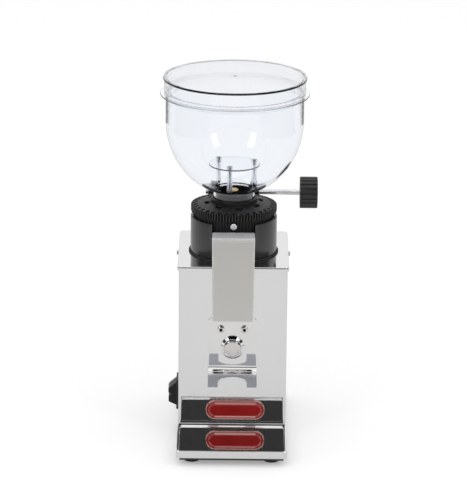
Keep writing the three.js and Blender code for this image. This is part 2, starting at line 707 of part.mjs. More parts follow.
function makeHopper(adjuster) {
  const inner = hopper.radius - hopper.wall;
  const bowlProfile = [
    [hopper.neck, 0],
    ...bowlCurve(hopper.radius, hopper.depth, hopper.neck),
    [hopper.radius, hopper.height - hopper.flangeThick],
    [hopper.flangeRadius, hopper.height - hopper.flangeThick], [hopper.flangeRadius, hopper.height],
    [inner, hopper.height],
    ...bowlCurve(inner, hopper.depth - hopper.wall, neckInner).reverse(),
    [neckInner, 0],
  ];
  const postPlaces = Array.from({ length: guard.posts }, (_, i) => {
    const angle = THREE.MathUtils.degToRad(guard.firstAngle + (360 * i) / guard.posts);
    return [guard.postRing * Math.cos(angle), guard.postRing * Math.sin(angle)];
  });
  const pinSeats = postPlaces.map((place) => (
    bar("z", guard.bore, pin.bottom - pin.seat, guard.foot + overrun, place, smallSides)
  ));
  add(adjuster, "hopper_bowl", cut(turned(bowlProfile), ...pinSeats), clearPlastic);

  const disc = bar("z", guard.radius, guard.top - guard.thick, guard.top, [0, 0], fineSides);
  const posts = postPlaces.map((place) => bar("z", guard.post, guard.foot, guard.top, place, smallSides));
  const caps = postPlaces.map((place) => (
    bar("z", guard.cap, guard.top - guard.thick / 2, guard.top + guard.capHeight, place, smallSides)
  ));
  const bores = postPlaces.map((place) => (
    bar("z", guard.bore, guard.foot - overrun, guard.top + guard.capHeight + overrun, place, smallSides)
  ));
  add(adjuster, "finger_guard", cut(joined(disc, ...posts, ...caps), ...bores), clearPlastic);
  postPlaces.forEach(([x, y], i) => {
    const pinTop = guard.top + guard.capHeight - pin.recess;
    const rod = bar("z", pin.radius, pin.bottom, pinTop, [0, 0], smallSides);
    add(adjuster, `guard_screw_${i + 1}`, welded(rod), blackPlastic, x, y);
  });

  const skirtInner = lid.skirt - lid.wall;
  const lidProfile = [
    [0, lid.height], [lid.radius, lid.height], [lid.radius, lid.height - lid.thick],
    [lid.skirt, lid.height - lid.thick], [lid.skirt, 0], [lid.plugRadius, 0],
    [lid.plugRadius, -lid.plugDepth], [lid.plugRadius - lid.wall, -lid.plugDepth],
    [lid.plugRadius - lid.wall, lid.wall], [skirtInner, lid.wall],
    [skirtInner, lid.height - lid.thick], [0, lid.height - lid.thick],
  ];
  add(adjuster, "hopper_lid", welded(turnedSolid(lidProfile)), clearPlastic, 0, 0, lidBottom);
}

// Worm drive: threaded shaft behind the wheel, its bearing ears, retaining clip and knob

const stepsPerTurn = 12;

/** The worm shaft as one surface about the x axis: plain rod, core with a helical thread, rod. */
function wormGeometry(leftEnd, rightEnd) {
  const pitch = (2 * Math.PI * (wheel.radius - worm.engage / 2)) / wheel.teeth;
  const steps = worm.turns * stepsPerTurn;
  const positions = [];
  const faces = [];
  const place = (x, radius, step) => {
    const angle = Math.PI + 2 * Math.PI * (step / stepsPerTurn - worm.turns / 2);
    positions.push(x, radius * Math.cos(angle), radius * Math.sin(angle));
    return positions.length / 3 - 1;
  };
  const ring = (x, radius) => Array.from({ length: stepsPerTurn }, (_, step) => place(x, radius, step));
  const helix = (shift, radius) => Array.from({ length: steps + 1 }, (_, step) => (
    place(shift + pitch * (step / stepsPerTurn - worm.turns / 2), radius, step)
  ));
  const fan = (first, ...others) => {
    for (let i = 0; i + 1 < others.length; i += 1) faces.push(first, others[i], others[i + 1]);
  };
  const band = (left, right) => {
    for (let k = 0; k < stepsPerTurn; k += 1) {
      const next = (k + 1) % stepsPerTurn;
      fan(left[k], left[next], right[next], right[k]);
    }
  };

  // The thread's two roots and two crests, its flanks and its two ends
  const rootA = helix(-worm.rootWidth / 2, worm.core);
  const crestA = helix(-worm.tipWidth / 2, worm.radius);
  const crestB = helix(worm.tipWidth / 2, worm.radius);
  const rootB = helix(worm.rootWidth / 2, worm.core);
  for (const [left, right] of [[rootA, crestA], [crestA, crestB], [crestB, rootB]]) {
    for (let k = 0; k < steps; k += 1) fan(left[k], left[k + 1], right[k + 1], right[k]);
  }
  fan(rootA[0], crestA[0], crestB[0], rootB[0]);
  fan(rootA[steps], rootB[steps], crestB[steps], crestA[steps]);

  // The core between the turns, and from the first and the last turn to the core's ends
  const n = stepsPerTurn;
  const coreLeft = ring(-worm.collar, worm.core);
  const coreRight = ring(worm.collar, worm.core);
  for (let k = 0; k + n < steps; k += 1) fan(rootB[k], rootB[k + 1], rootA[k + 1 + n], rootA[k + n]);
  for (let k = 0; k + 1 < n; k += 1) {
    fan(coreLeft[k], coreLeft[k + 1], rootA[k + 1], rootA[k]);
    const late = steps - n + k + 1;
    fan(rootB[late], rootB[late + 1], coreRight[(k + 2) % n], coreRight[k + 1]);
  }
  fan(rootA[n - 1], coreLeft[n - 1], coreLeft[0], rootA[0], rootB[0], rootA[n]);
  fan(rootB[steps - n + 1], coreRight[1], coreRight[0], rootB[steps], rootA[steps], rootB[steps - n]);

  // The plain rod on both sides
  const rings = [ring(leftEnd, worm.shaft), ring(-worm.collar, worm.shaft), ring(worm.collar, worm.shaft),
    ring(rightEnd, worm.shaft)];
  band(rings[0], rings[1]);
  band(rings[1], coreLeft);
  band(coreRight, rings[2]);
  band(rings[2], rings[3]);
  fan(...rings[0].slice().reverse());
  fan(...rings[3]);

  const geometry = new THREE.BufferGeometry();
  geometry.setAttribute("position", new THREE.Float32BufferAttribute(positions, 3));
  geometry.setIndex(faces);
  return geometry;
}

function makeWormDrive() {
  const drive = group(0, wormY, wormZ);
  const knobBoreEnd = knob.start + knob.boreDepth;
  add(drive, "worm_shaft", wormGeometry(-worm.leftEnd, knobBoreEnd - fit), toolSteel);

  const earTop = wheel.thick / 2 + ear.above - worm.rise;
  const seat = capTop + fit - wormZ;
  const end = ear.inner + ear.thick;
  const bracketFoot = box(
    [-end, -ear.baseAhead, seat],
    [end, ear.baseDepth - ear.baseAhead, seat + ear.baseThick],
  );
  const ears = [-1, 1].map((side) => box(
    [side * (ear.inner + ear.thick / 2) - ear.thick / 2, -ear.depth / 2, seat + ear.baseThick / 2],
    [side * (ear.inner + ear.thick / 2) + ear.thick / 2, ear.depth / 2, earTop],
  ));
  const bore = bar("x", worm.bore, -end - overrun, end + overrun, [0, 0], smallSides);
  add(drive, "worm_bracket", cut(joined(bracketFoot, ...ears), bore), blackCast);

  const clipStart = -end - fit;
  const ring = straight("x", circle(0, 0, clip.radius, smallSides), clipStart - clip.thick, clipStart,
    [circle(0, 0, worm.bore, smallSides).reverse()]);
  add(drive, "worm_clip", welded(ring), toolSteel);

  const outline = toothedOutline(knob.radius, knob.rib, knob.ribs, knob.tipShare, knob.rootShare);
  const grip = straight("x", outline, knob.start, knob.start + knob.length);
  const hole = bar("x", worm.bore, knob.start - overrun, knobBoreEnd, [0, 0], smallSides);
  add(drive, "adjusting_knob", cut(grip, hole), blackPlastic);
}

// Chute: tapering steel duct from the housing window down past the front panel

/** A solid with a side outline in y and z whose half width changes with height. */
function taperedSolid(outline, halfWidthAt) {
  const points = outline.map(([y, z]) => new THREE.Vector2(y, z));
  if (THREE.ShapeUtils.area(points) < 0) points.reverse();
  const count = points.length;
  const left = points.flatMap((point) => [-halfWidthAt(point.y), point.x, point.y]);
  const right = points.flatMap((point) => [halfWidthAt(point.y), point.x, point.y]);
  const faces = [];
  for (const [a, b, c] of THREE.ShapeUtils.triangulateShape(points, [])) {
    faces.push(a, c, b, a + count, b + count, c + count);
  }
  for (let i = 0; i < count; i += 1) {
    const next = (i + 1) % count;
    faces.push(i, next, i + count, next, next + count, i + count);
  }
  const geometry = new THREE.BufferGeometry();
  geometry.setAttribute("position", new THREE.Float32BufferAttribute([...left, ...right], 3));
  geometry.setIndex(faces);
  return geometry;
}

function makeChute() {
  const [top, bottom] = [chuteTop, chuteBottom];
  const floor = capTop + chute.floorAbove;
  const rear = -housing.radius - fit;
  const front = bodyFront - chute.front;
  const toe = front - chute.lean;
  const back = capFront - chute.gap;
  const leanPerHeight = chute.lean / chute.length;
  const wallAcross = sheet * Math.hypot(1, leanPerHeight);
  const outer = [[rear, top], [front, top], [toe, bottom], [back, bottom], [back, floor], [rear, floor]];
  const below = bottom - overrun;
  const inner = [
    [rear + overrun, top - sheet], [front + wallAcross - leanPerHeight * sheet, top - sheet],
    [toe + wallAcross - leanPerHeight * overrun, below],
    [back - sheet, below], [back - sheet, floor + sheet], [rear + overrun, floor + sheet],
  ];
  const taper = (chute.topWidth - chute.bottomWidth) / 2 / chute.length;
  const halfWidth = (z) => chute.topWidth / 2 - taper * (top - z);
  const duct = cut(taperedSolid(outer, halfWidth), taperedSolid(inner, (z) => halfWidth(z) - sheet));
  add(group(), "chute", duct, satinSteel);
}

// Front fork with its screws, and the start button in it

function makeFork() {
  const bracket = group(0, flangeBack, flangeTop);
  const half = fork.width / 2;
  const plateTop = fork.plate - fork.height;
  const below = -fork.height - overrun;
  const flangeOutline = [
    [-half, below], [half, below], [half, -fork.chamfer], [half - fork.chamfer, 0],
    [-half + fork.chamfer, 0], [-half, -fork.chamfer],
  ].map(([x, z]) => new THREE.Vector2(x, z));
  const tip = -fork.thick - fork.reach;
  const [bendY, bendZ] = [-fork.thick - fork.bend, plateTop + fork.bend];
  const bendArc = (across, down) => Array.from({ length: roundingSteps + 1 }, (_, i) => {
    const angle = (Math.PI / 2) * (i / roundingSteps);
    return [bendY + across * Math.cos(angle), bendZ - down * Math.sin(angle)];
  });
  const profile = [
    [-fork.thick, 0], ...bendArc(fork.bend, fork.bend), [tip, plateTop], [tip, -fork.height],
    ...bendArc(fork.thick + fork.bend, fork.plate + fork.bend).reverse(), [0, 0],
  ].map(([y, z]) => new THREE.Vector2(y, z));
  const silhouette = straight("y", flangeOutline, tip - overrun, overrun);
  const bentStrip = straight("x", profile, -half - overrun, half + overrun);
  const strip = geometryOf(solidOf(bentStrip).intersect(solidOf(silhouette)));
  const slotHalf = fork.slot / 2;
  const slotCentre = -fork.thick - fork.slotRoot - slotHalf;
  const slotEnd = slotCentre + slotHalf;
  const slotOutline = roundedRectangle(-slotHalf, tip - fork.slot, slotHalf, slotEnd, slotHalf);
  const slot = straight("z", slotOutline, -fork.height - overrun, plateTop + overrun);
  const tipHalf = fork.tipWidth / 2;
  const tips = [-1, 1].map((side) => box(
    [side * (half - tipHalf) - tipHalf, tip, -fork.height],
    [side * (half - tipHalf) + tipHalf, tip + fork.tipLength, plateTop + fork.tipRise],
  ));
  const holes = [-1, 1].map((side) => bar("y", forkScrew.shank + fit, -fork.thick - overrun, overrun,
    [side * forkScrew.spread, -forkScrew.down], smallSides));
  const buttonHole = bar("y", button.barrel + fit, -fork.thick - overrun, overrun, [0, -button.down]);
  add(bracket, "fork_bracket", cut(joined(strip, ...tips), slot, ...holes, buttonHole),
    polishedSteel);

  const headSeat = -fork.thick - fit;
  const screwProfile = [
    [0, -forkScrew.length], [forkScrew.shank, -forkScrew.length], [forkScrew.shank, 0],
    [forkScrew.head, 0], [forkScrew.head, forkScrew.headLength / 2],
    [forkScrew.head * forkScrew.topShare, forkScrew.headLength], [0, forkScrew.headLength],
  ];
  for (const [name, side] of [["fork_screw_left", -1], ["fork_screw_right", 1]]) {
    const socket = bar("z", forkScrew.socket, forkScrew.headLength - forkScrew.socketDepth,
      forkScrew.headLength + overrun, [0, 0], hexagonSides);
    const screw = facingFront(cut(turnedSolid(screwProfile, smallSides), socket));
    add(bracket, name, screw, chrome, side * forkScrew.spread, headSeat, -forkScrew.down);
  }
}

function makeStartButton() {
  const seat = group(0, flangeFront - fit, flangeTop - button.down);
  const bore = button.radius + fit;
  const bezelProfile = [
    [bore, button.bezelDepth], [bore + fit, button.bezelDepth],
    [button.bezel, button.bezelDepth * button.rimShare], [button.bezel, 0],
    [button.barrel, 0], [button.barrel, -button.barrelLength],
    [button.pin + fit, -button.barrelLength], [button.pin + fit, -button.barrelLength + button.endWall],
    [bore, -button.barrelLength + button.endWall],
  ];
  add(seat, "button_bezel", facingFront(welded(turned(bezelProfile, buttonSides))), chrome);

  const front = button.stand;
  const back = front - button.length;
  const springBack = -button.barrelLength + button.endWall + fit;
  const springFront = springBack + button.springLength;
  const pocketRoof = springFront + button.travel + fit;
  const pinEnd = -button.barrelLength - fit;
  const plungerProfile = [
    [0, front], [button.radius - button.edge, front],
    [button.radius, front - button.edge], [button.radius, back],
    [button.springOuter + fit, back], [button.springOuter + fit, pocketRoof],
    [button.pin, pocketRoof], [button.pin, pinEnd], [0, pinEnd],
  ];
  add(seat, "start_button", facingFront(welded(turnedSolid(plungerProfile, buttonSides))), chrome);

  const springInner = button.springOuter - button.springWall;
  const springProfile = [
    [springInner, springBack], [button.springOuter, springBack], [button.springOuter, springFront],
    [springInner, springFront],
  ];
  add(seat, "button_spring", facingFront(welded(turned(springProfile, mediumSides))), toolSteel);

  const wall = button.barrelLength + fit;
  const caseFront = wall + button.travel + fit * 2;
  const halfX = microswitch.width / 2;
  const halfZ = microswitch.height / 2;
  const block = box([-halfX, caseFront, -halfZ], [halfX, caseFront + microswitch.depth, halfZ]);
  const legs = [-1, 1].map((side) => box(
    [side * microswitch.legX - microswitch.leg / 2, wall, -microswitch.leg / 2],
    [side * microswitch.legX + microswitch.leg / 2, caseFront + microswitch.leg, microswitch.leg / 2],
  ));
  add(seat, "microswitch", joined(block, ...legs), blackPlastic);
}

// Rocker switch low on the left wall

function makeRocker() {
  const side = group(-bodySide - fit, rockerY, rockerZ);
  const plate = straight("x", roundedRectangle(
    -rocker.plateY / 2, -rocker.plateZ / 2, rocker.plateY / 2, rocker.plateZ / 2, rocker.corner,
  ), -rocker.plateThick, 0);
  const bodyY = rocker.bodyY / 2;
  const bodyZ = rocker.bodyZ / 2;
  const block = box([-rocker.plateThick / 2, -bodyY, -bodyZ], [rocker.bodyDepth, bodyY, bodyZ]);
  const pocketZ = rocker.keyHalf + running * 2;
  const pocket = box(
    [-rocker.plateThick - overrun, -rocker.keyY / 2 - fit, -pocketZ],
    [rocker.pocketDepth, rocker.keyY / 2 + fit, pocketZ],
  );
  add(side, "rocker_bezel", cut(joined(plate, block), pocket), blackPlastic);

  const half = rocker.keyHalf;
  const upper = upperFaceShares.map(([out, up]) => [rocker.upperReach * out, half * up]);
  const lower = lowerFaceShares.map(([out, up]) => [rocker.lowerReach * out, half * up]);
  const face = [...upper, [rocker.notchReach, half * notchShare], ...lower];
  const back = Array.from({ length: roundingSteps + 1 }, (_, i) => {
    const angle = -Math.PI / 2 + (Math.PI * i) / roundingSteps;
    return [-rocker.pivotIn - rocker.keyRound * Math.cos(angle), rocker.keyRound * Math.sin(angle)];
  });
  const outline = [...face, ...back].map(([out, up]) => new THREE.Vector2(-out, up));
  const key = straight("y", outline, -rocker.keyY / 2, rocker.keyY / 2);
  add(side, "rocker_key", welded(key), blackPlastic);
}

// Motor under the top plate, with its brackets, windings, bolts and the parts on the base plate

function makeMotor() {
  const drive = group();
  const side = motor.width / 2;
  const half = side + motor.bracketOver;
  const legAt = motorBolt.spread;
  const leg = motor.legWidth / 2;
  const corners = [[-legAt, -legAt], [legAt, -legAt], [legAt, legAt], [-legAt, legAt]];
  const boltCorners = [corners[0], corners[2]];
  const boltHoles = (low, high) => boltCorners.map((place) => (
    bar("z", motorBolt.radius + fit, low, high, place, smallSides)
  ));

  const upperBottom = bodyTop - motor.bracketThick;
  const upperPlate = box([-half, -half, upperBottom], [half, half, bodyTop]);
  const upperLegs = corners.map(([x, y]) => (
    box([x - leg, y - leg, stackTop + fit], [x + leg, y + leg, bodyTop])
  ));
  const upperHole = bar("z", spigotHole, upperBottom - overrun, bodyTop + overrun, [0, 0], fineSides);
  const boltBottom = lowerPlateBottom - fit;
  const boltTop = boltBottom + motorBolt.length;
  const upper = joined(upperPlate, ...upperLegs);
  const upperBolts = boltHoles(stackTop, boltTop + fit);
  add(drive, "motor_top_bracket", cut(upper, upperHole, ...upperBolts), castAluminium);

  const square = roundedRectangle(-side, -side, side, side, motor.corner);
  const stack = straight("z", square, stackBottom, stackTop);
  const stackBore = bar("z", motor.bore, stackBottom - overrun, stackTop + overrun, [0, 0], fineSides);
  add(drive, "motor_stator",
    cut(stack, stackBore, ...boltHoles(stackBottom - overrun, stackTop + overrun)), zincSteel);

  const coilProfile = (height) => [
    [winding.inner, 0], [winding.outer, 0], [winding.outer, height - winding.round],
    [winding.outer - winding.round, height], [winding.inner + winding.round / 2, height],
    [winding.inner, height - winding.round / 2],
  ];
  add(drive, "upper_winding", welded(turned(coilProfile(winding.upper), mediumSides)), copper,
    0, 0, stackTop + fit);
  const lowerCoil = turned(coilProfile(winding.lower), mediumSides).rotateX(Math.PI);
  add(drive, "lower_winding", welded(lowerCoil), copper, 0, 0, stackBottom - fit);

  const rotorProfile = [
    [shaftBore, stackBottom - motorRotor.over], [motorRotor.radius, stackBottom - motorRotor.over],
    [motorRotor.radius, stackTop + motorRotor.over], [shaftBore, stackTop + motorRotor.over],
  ];
  add(drive, "motor_rotor", welded(turned(rotorProfile, mediumSides)), zincSteel);

  const lowerPlate = box([-half, -half, lowerPlateBottom], [half, half, lowerPlateTop]);
  const lowerLegs = corners.map(([x, y]) => (
    box([x - leg, y - leg, lowerPlateBottom], [x + leg, y + leg, stackBottom - fit])
  ));
  const hub = bar("z", motor.hubRadius, hubBottom, lowerPlateTop);
  const pocket = bar("z", bearingBore, hubBottom - overrun, hubBottom + bearingPocket);
  const passage = bar("z", bearing.radius - bearing.ledge, hubBottom, lowerPlateTop + overrun);
  const lower = joined(lowerPlate, ...lowerLegs, hub);
  const lowerBolts = boltHoles(lowerPlateBottom - overrun, stackTop);
  add(drive, "motor_lower_bracket", cut(lower, pocket, passage, ...lowerBolts), castAluminium);

  const bearingProfile = [
    [shaftBore, 0], [bearing.radius, 0], [bearing.radius, bearing.height], [shaftBore, bearing.height],
  ];
  add(drive, "lower_bearing", welded(turned(bearingProfile, mediumSides)), toolSteel, 0, 0, hubBottom);

  boltCorners.forEach((place, i) => {
    const headBottom = boltBottom - motorBolt.headLength;
    const shank = bar("z", motorBolt.radius, (headBottom + boltBottom) / 2, boltTop, place, smallSides);
    const head = bar("z", motorBolt.head, headBottom, boltBottom, place, hexagonSides);
    add(drive, `motor_bolt_${i + 1}`, joined(shank, head), zincSteel);
  });
}

function makeElectrics() {
  const floor = group(0, 0, baseTop + fit);
  const radius = capacitor.radius;
  const half = capacitor.length / 2;
  const profile = [
    [0, -half], [radius - capacitor.round, -half], [radius, -half + capacitor.round],
    [radius, half - capacitor.round], [radius - capacitor.round, half], [0, half],
  ];
  const can = turnedSolid(profile, mediumSides).rotateY(Math.PI / 2);
  add(floor, "run_capacitor", welded(can), castAluminium, 0, bodyRear - capacitor.fromRear, radius);

  const block = box(
    [-terminals.width / 2, -terminals.depth / 2, 0],
    [terminals.width / 2, terminals.depth / 2, terminals.height],
  );
  const wayPitch = terminals.width / terminals.ways;
  const ways = Array.from({ length: terminals.ways }, (_, i) => bar("z", terminals.way,
    terminals.height - terminals.wayDepth, terminals.height + overrun,
    [(i - (terminals.ways - 1) / 2) * wayPitch, 0], smallSides));
  add(floor, "terminal_block", cut(block, ...ways), blackPlastic, terminals.x, terminals.y);
}

makeStand();
makeTray();
makeShell();
makeRearCover();
makeTopPlate();
makeBadge();
makeHousing();
makeRotor();
makeAdjuster();
makeWormDrive();
makeChute();
makeFork();
makeStartButton();
makeRocker();
makeMotor();
makeElectrics();

// The origin is at the middle of the floor under the machine's outer box

const leftReach = -hopper.flangeRadius;
const rightReach = knob.start + knob.length;
const rearReach = hopper.flangeRadius;
machine.position.set(-(leftReach + rightReach) / 2, -(trayFront + rearReach) / 2, 0);

export default machine;
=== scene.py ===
# %% [markdown]
# # Dressing an espresso grinder
# The imported part already has every solid in its place. This notebook gives it its looks: smooth
# surfaces worked out with numpy over the faceted solids, and a procedural finish on each of them.
# We start by loading the solids.

# %% Load the solids
import json

import bmesh
import bpy
import numpy as np
from mathutils import Matrix


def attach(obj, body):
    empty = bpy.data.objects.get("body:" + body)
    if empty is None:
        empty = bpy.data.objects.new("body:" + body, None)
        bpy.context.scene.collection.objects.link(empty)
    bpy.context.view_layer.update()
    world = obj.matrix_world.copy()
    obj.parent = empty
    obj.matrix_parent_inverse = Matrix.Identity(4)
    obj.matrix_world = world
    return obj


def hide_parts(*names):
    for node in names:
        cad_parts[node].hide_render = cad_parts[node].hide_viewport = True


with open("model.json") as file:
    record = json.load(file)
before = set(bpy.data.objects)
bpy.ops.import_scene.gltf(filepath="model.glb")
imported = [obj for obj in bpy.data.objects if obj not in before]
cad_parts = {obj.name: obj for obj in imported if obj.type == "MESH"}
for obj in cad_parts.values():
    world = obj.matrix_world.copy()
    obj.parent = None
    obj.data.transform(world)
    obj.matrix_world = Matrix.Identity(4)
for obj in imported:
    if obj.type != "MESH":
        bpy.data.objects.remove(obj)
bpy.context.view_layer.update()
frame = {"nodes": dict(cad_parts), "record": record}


# %% [markdown]
# ## Camera
# The grinder is seen from straight ahead and from above, by a long lens: its verticals hardly
# converge. A fit of the picture's ellipses and edges gives 2.7 m of distance to the burr axis,
# 17.3 degrees of pitch and half a degree of roll, which leans the hopper to the right.

# %% Camera
BURR_AXIS = np.array([-5.5, 30.35, 0.0])  # mm, where the burr axis stands in the part's frame
EYE = (-0.0055, -2.66965, 1.025)  # m
PITCH, ROLL = 17.3, 0.57  # degrees
LENS, SENSOR = 198.3, 36.0  # mm

camera = bpy.data.objects.new("camera", bpy.data.cameras.new("camera"))
bpy.context.scene.collection.objects.link(camera)
camera.data.lens, camera.data.sensor_width = LENS, SENSOR
camera.data.clip_start, camera.data.clip_end = 0.1, 60.0  # m
turn = Matrix.Rotation(np.radians(90 - PITCH), 4, "X") @ Matrix.Rotation(np.radians(ROLL), 4, "Z")
camera.matrix_world = Matrix.Translation(EYE) @ turn
bpy.context.scene.camera = camera
bpy.context.scene.view_settings.view_transform = "Standard"
print("camera at", tuple(round(v, 3) for v in camera.matrix_world.translation))

# %% [markdown]
# ## Shader helpers
# A material is a small net of nodes. `put` adds one node and fills its inputs: a value is
# written on the socket, and another node's output is linked to it. With it, a net reads from top
# to bottom like a recipe.

# %% Shader helpers
def put(tree, kind, inputs=None, **settings):
    """Adds a node to a tree, sets its options and fills its inputs by name or number."""
    node = tree.nodes.new(kind)
    for option, value in settings.items():
        setattr(node, option, value)
    for key, value in (inputs or {}).items():
        if isinstance(value, bpy.types.NodeSocket):
            tree.links.new(value, node.inputs[key])
        else:
            node.inputs[key].default_value = value
    return node


def calculate(tree, operation, first, second, **settings):
    """The result of one operation on two numbers."""
    inputs = {0: first, 1: second}
    return put(tree, "ShaderNodeMath", inputs, operation=operation, **settings).outputs[0]


def remap(tree, value, low, high, start=0.0, end=1.0):
    """value, which runs from start to end, stretched to run from low to high."""
    inputs = {"Value": value, "From Min": start, "From Max": end, "To Min": low, "To Max": high}
    return put(tree, "ShaderNodeMapRange", inputs, clamp=True).outputs["Result"]


def blend_colours(tree, share, first, second):
    """first where share is 0, second where it is 1. A single number stands for a grey."""
    node = put(tree, "ShaderNodeMix", {0: share}, data_type="RGBA")
    for slot, colour in ((6, first), (7, second)):
        if isinstance(colour, bpy.types.NodeSocket):
            tree.links.new(colour, node.inputs[slot])
        else:
            node.inputs[slot].default_value = (*np.broadcast_to(colour, 3), 1.0)
    return node.outputs[2]


def new_group(name, output, **inputs):
    """An empty node group of float inputs and one output: its net, what it is given, its result."""
    tree = bpy.data.node_groups.new(name, "ShaderNodeTree")
    for label, value in inputs.items():
        socket = tree.interface.new_socket(label.replace("_", " "), in_out="INPUT",
                                           socket_type="NodeSocketFloat")
        socket.default_value = value
    tree.interface.new_socket(output, in_out="OUTPUT", socket_type="NodeSocketFloat")
    return tree, tree.nodes.new("NodeGroupInput").outputs, tree.nodes.new("NodeGroupOutput").inputs


def use_group(tree, group, **values):
    """Places a group in a material's net with this material's own values, and gives its result."""
    node = put(tree, "ShaderNodeGroup", node_tree=group)
    for label, value in values.items():
        node.inputs[label.replace("_", " ")].default_value = value
    return node.outputs[0]


def new_material(name, **values):
    """A material with some of its shader's inputs set: the material, its net and the inputs."""
    material = bpy.data.materials.new(name)
    material.use_nodes = True
    inputs = material.node_tree.nodes["Principled BSDF"].inputs
    for label, value in values.items():
        inputs[label.replace("_", " ")].default_value = value
    return material, material.node_tree, inputs


# %% [markdown]
# ## Marks that several finishes share
# Three effects come back on many pieces, so each is a group: smudges, the soft clouds that make
# one reflection a little duller than the next; brushing, the fine parallel scratches of a satin
# sheet; and moulding grain, the tiny pits of moulded plastic and cast paint. A fourth finds edges
# to make paler: wear, and on the knob's ribs and the wheel's teeth a painted highlight. They put
# out plain numbers, and each material decides what these mean.

# %% Smudges, brushing, grain and paler edges
def here(tree):
    """The shaded point in the piece's own space."""
    return put(tree, "ShaderNodeTexCoord").outputs["Object"]


smudges, given, result = new_group("smudges", "Amount", Size=40.0, Contrast=1.0)
where = {"Vector": here(smudges), "Scale": given["Size"]}
cloud = put(smudges, "ShaderNodeTexNoise", {**where, "Detail": 3.0})
centred = calculate(smudges, "SUBTRACT", cloud.outputs[0], 0.5)
spread = calculate(smudges, "MULTIPLY", centred, given["Contrast"])
smudges.links.new(calculate(smudges, "ADD", spread, 0.5, use_clamp=True), result["Amount"])

brushing, given, result = new_group("brushing", "Height",
                                    Along_X=900.0, Along_Y=900.0, Along_Z=25.0)
stretch = put(brushing, "ShaderNodeCombineXYZ", {axis: given[f"Along {axis}"] for axis in "XYZ"})
stretched = put(brushing, "ShaderNodeVectorMath", {0: here(brushing), 1: stretch.outputs[0]},
                operation="MULTIPLY")
where = {"Vector": stretched.outputs[0], "Scale": 1.0}
lines = put(brushing, "ShaderNodeTexNoise", {**where, "Detail": 4.0})
brushing.links.new(lines.outputs[0], result["Height"])

grain, given, result = new_group("moulding grain", "Height", Size=1500.0)
where = {"Vector": here(grain), "Scale": given["Size"]}
pits = put(grain, "ShaderNodeTexVoronoi", where, feature="SMOOTH_F1")
fine = put(grain, "ShaderNodeTexNoise", {**where, "Detail": 2.0})
both = calculate(grain, "ADD", pits.outputs["Distance"], fine.outputs[0])
grain.links.new(both, result["Height"])

edges, given, result = new_group("worn and highlit edges", "Amount", Start=0.52, End=0.6)
curve = put(edges, "ShaderNodeNewGeometry").outputs["Pointiness"]
worn = remap(edges, curve, 0.0, 1.0, given["Start"], given["End"])
edges.links.new(worn, result["Amount"])
print("groups:", [g.name for g in (smudges, brushing, grain, edges)])

# %% [markdown]
# ## Metals
# Every metal is the same recipe with other values: a base colour that smudges darken a little, a
# roughness that the same smudges lift, and a bump far too shallow to see except as a change in
# the shine. Metallic stays a plain 1. Polished sheet is nearly a mirror, so most of what it shows
# is the room.

# %% Metals
def finish(name, colours, roughs, size, contrast, **values):
    """A material between a clean and a dull state, which smudges mix: material, net, inputs."""
    material, tree, inputs = new_material(name, **values)
    cloud = use_group(tree, smudges, Size=size, Contrast=contrast)
    tree.links.new(blend_colours(tree, cloud, *colours), inputs["Base Color"])
    tree.links.new(remap(tree, cloud, *roughs), inputs["Roughness"])
    return material, tree, inputs


def ripple(tree, inputs, height, strength, distance):
    """Links a height to the shader's normal as a bump."""
    values = {"Strength": strength, "Distance": distance, "Height": height}
    tree.links.new(put(tree, "ShaderNodeBump", values).outputs[0], inputs["Normal"])


def metal(name, colour, dull, rough, rough_dull, size=40.0, bump=0.02, brushed=None):
    """A metal between a clean and a dull state. brushed gives the scratches' scales in x, y, z."""
    material, tree, inputs = finish(name, (colour, dull), (rough, rough_dull), size, 1.6,
                                    Metallic=1.0)
    if brushed:
        along_x, along_y, along_z = brushed
        height = use_group(tree, brushing, Along_X=along_x, Along_Y=along_y, Along_Z=along_z)
    else:
        height = use_group(tree, grain, Size=700.0)
    ripple(tree, inputs, height, bump, 0.0004)
    return material


polished_steel = metal("polished steel", (0.86, 0.86, 0.855), (0.83, 0.83, 0.825), 0.02, 0.05,
                       12.0, 0.004)
fork_steel = metal("fork steel", (0.88, 0.875, 0.86), (0.83, 0.825, 0.815), 0.02, 0.05, 60.0, 0.004)
chrome = metal("chrome", (0.88, 0.88, 0.89), (0.80, 0.80, 0.81), 0.03, 0.08, 90.0, 0.01)
shaft_steel = metal("ground shaft", (0.72, 0.72, 0.74), (0.60, 0.60, 0.62), 0.06, 0.13, 120.0, 0.03,
                    (30, 900, 900))
tool_steel = metal("tool steel", (0.50, 0.50, 0.51), (0.36, 0.36, 0.37), 0.25, 0.40, 90.0, 0.05)
golden_brass = metal("golden brass", (0.80, 0.62, 0.27), (0.62, 0.45, 0.18), 0.15, 0.30,
                     120.0, 0.04)
cast_alloy = metal("cast alloy", (0.62, 0.62, 0.63), (0.47, 0.47, 0.48), 0.42, 0.60, 60.0, 0.20)
zinc = metal("zinc plate", (0.66, 0.67, 0.68), (0.52, 0.53, 0.54), 0.25, 0.42, 80.0, 0.06)
laminated = metal("laminated iron", (0.40, 0.40, 0.41), (0.28, 0.28, 0.29), 0.40, 0.55, 80.0, 0.5,
                  (40, 40, 2200))
copper = metal("copper wire", (0.72, 0.36, 0.16), (0.50, 0.22, 0.09), 0.28, 0.42, 60.0, 0.6,
               (250, 250, 1900))
print("metals ready")
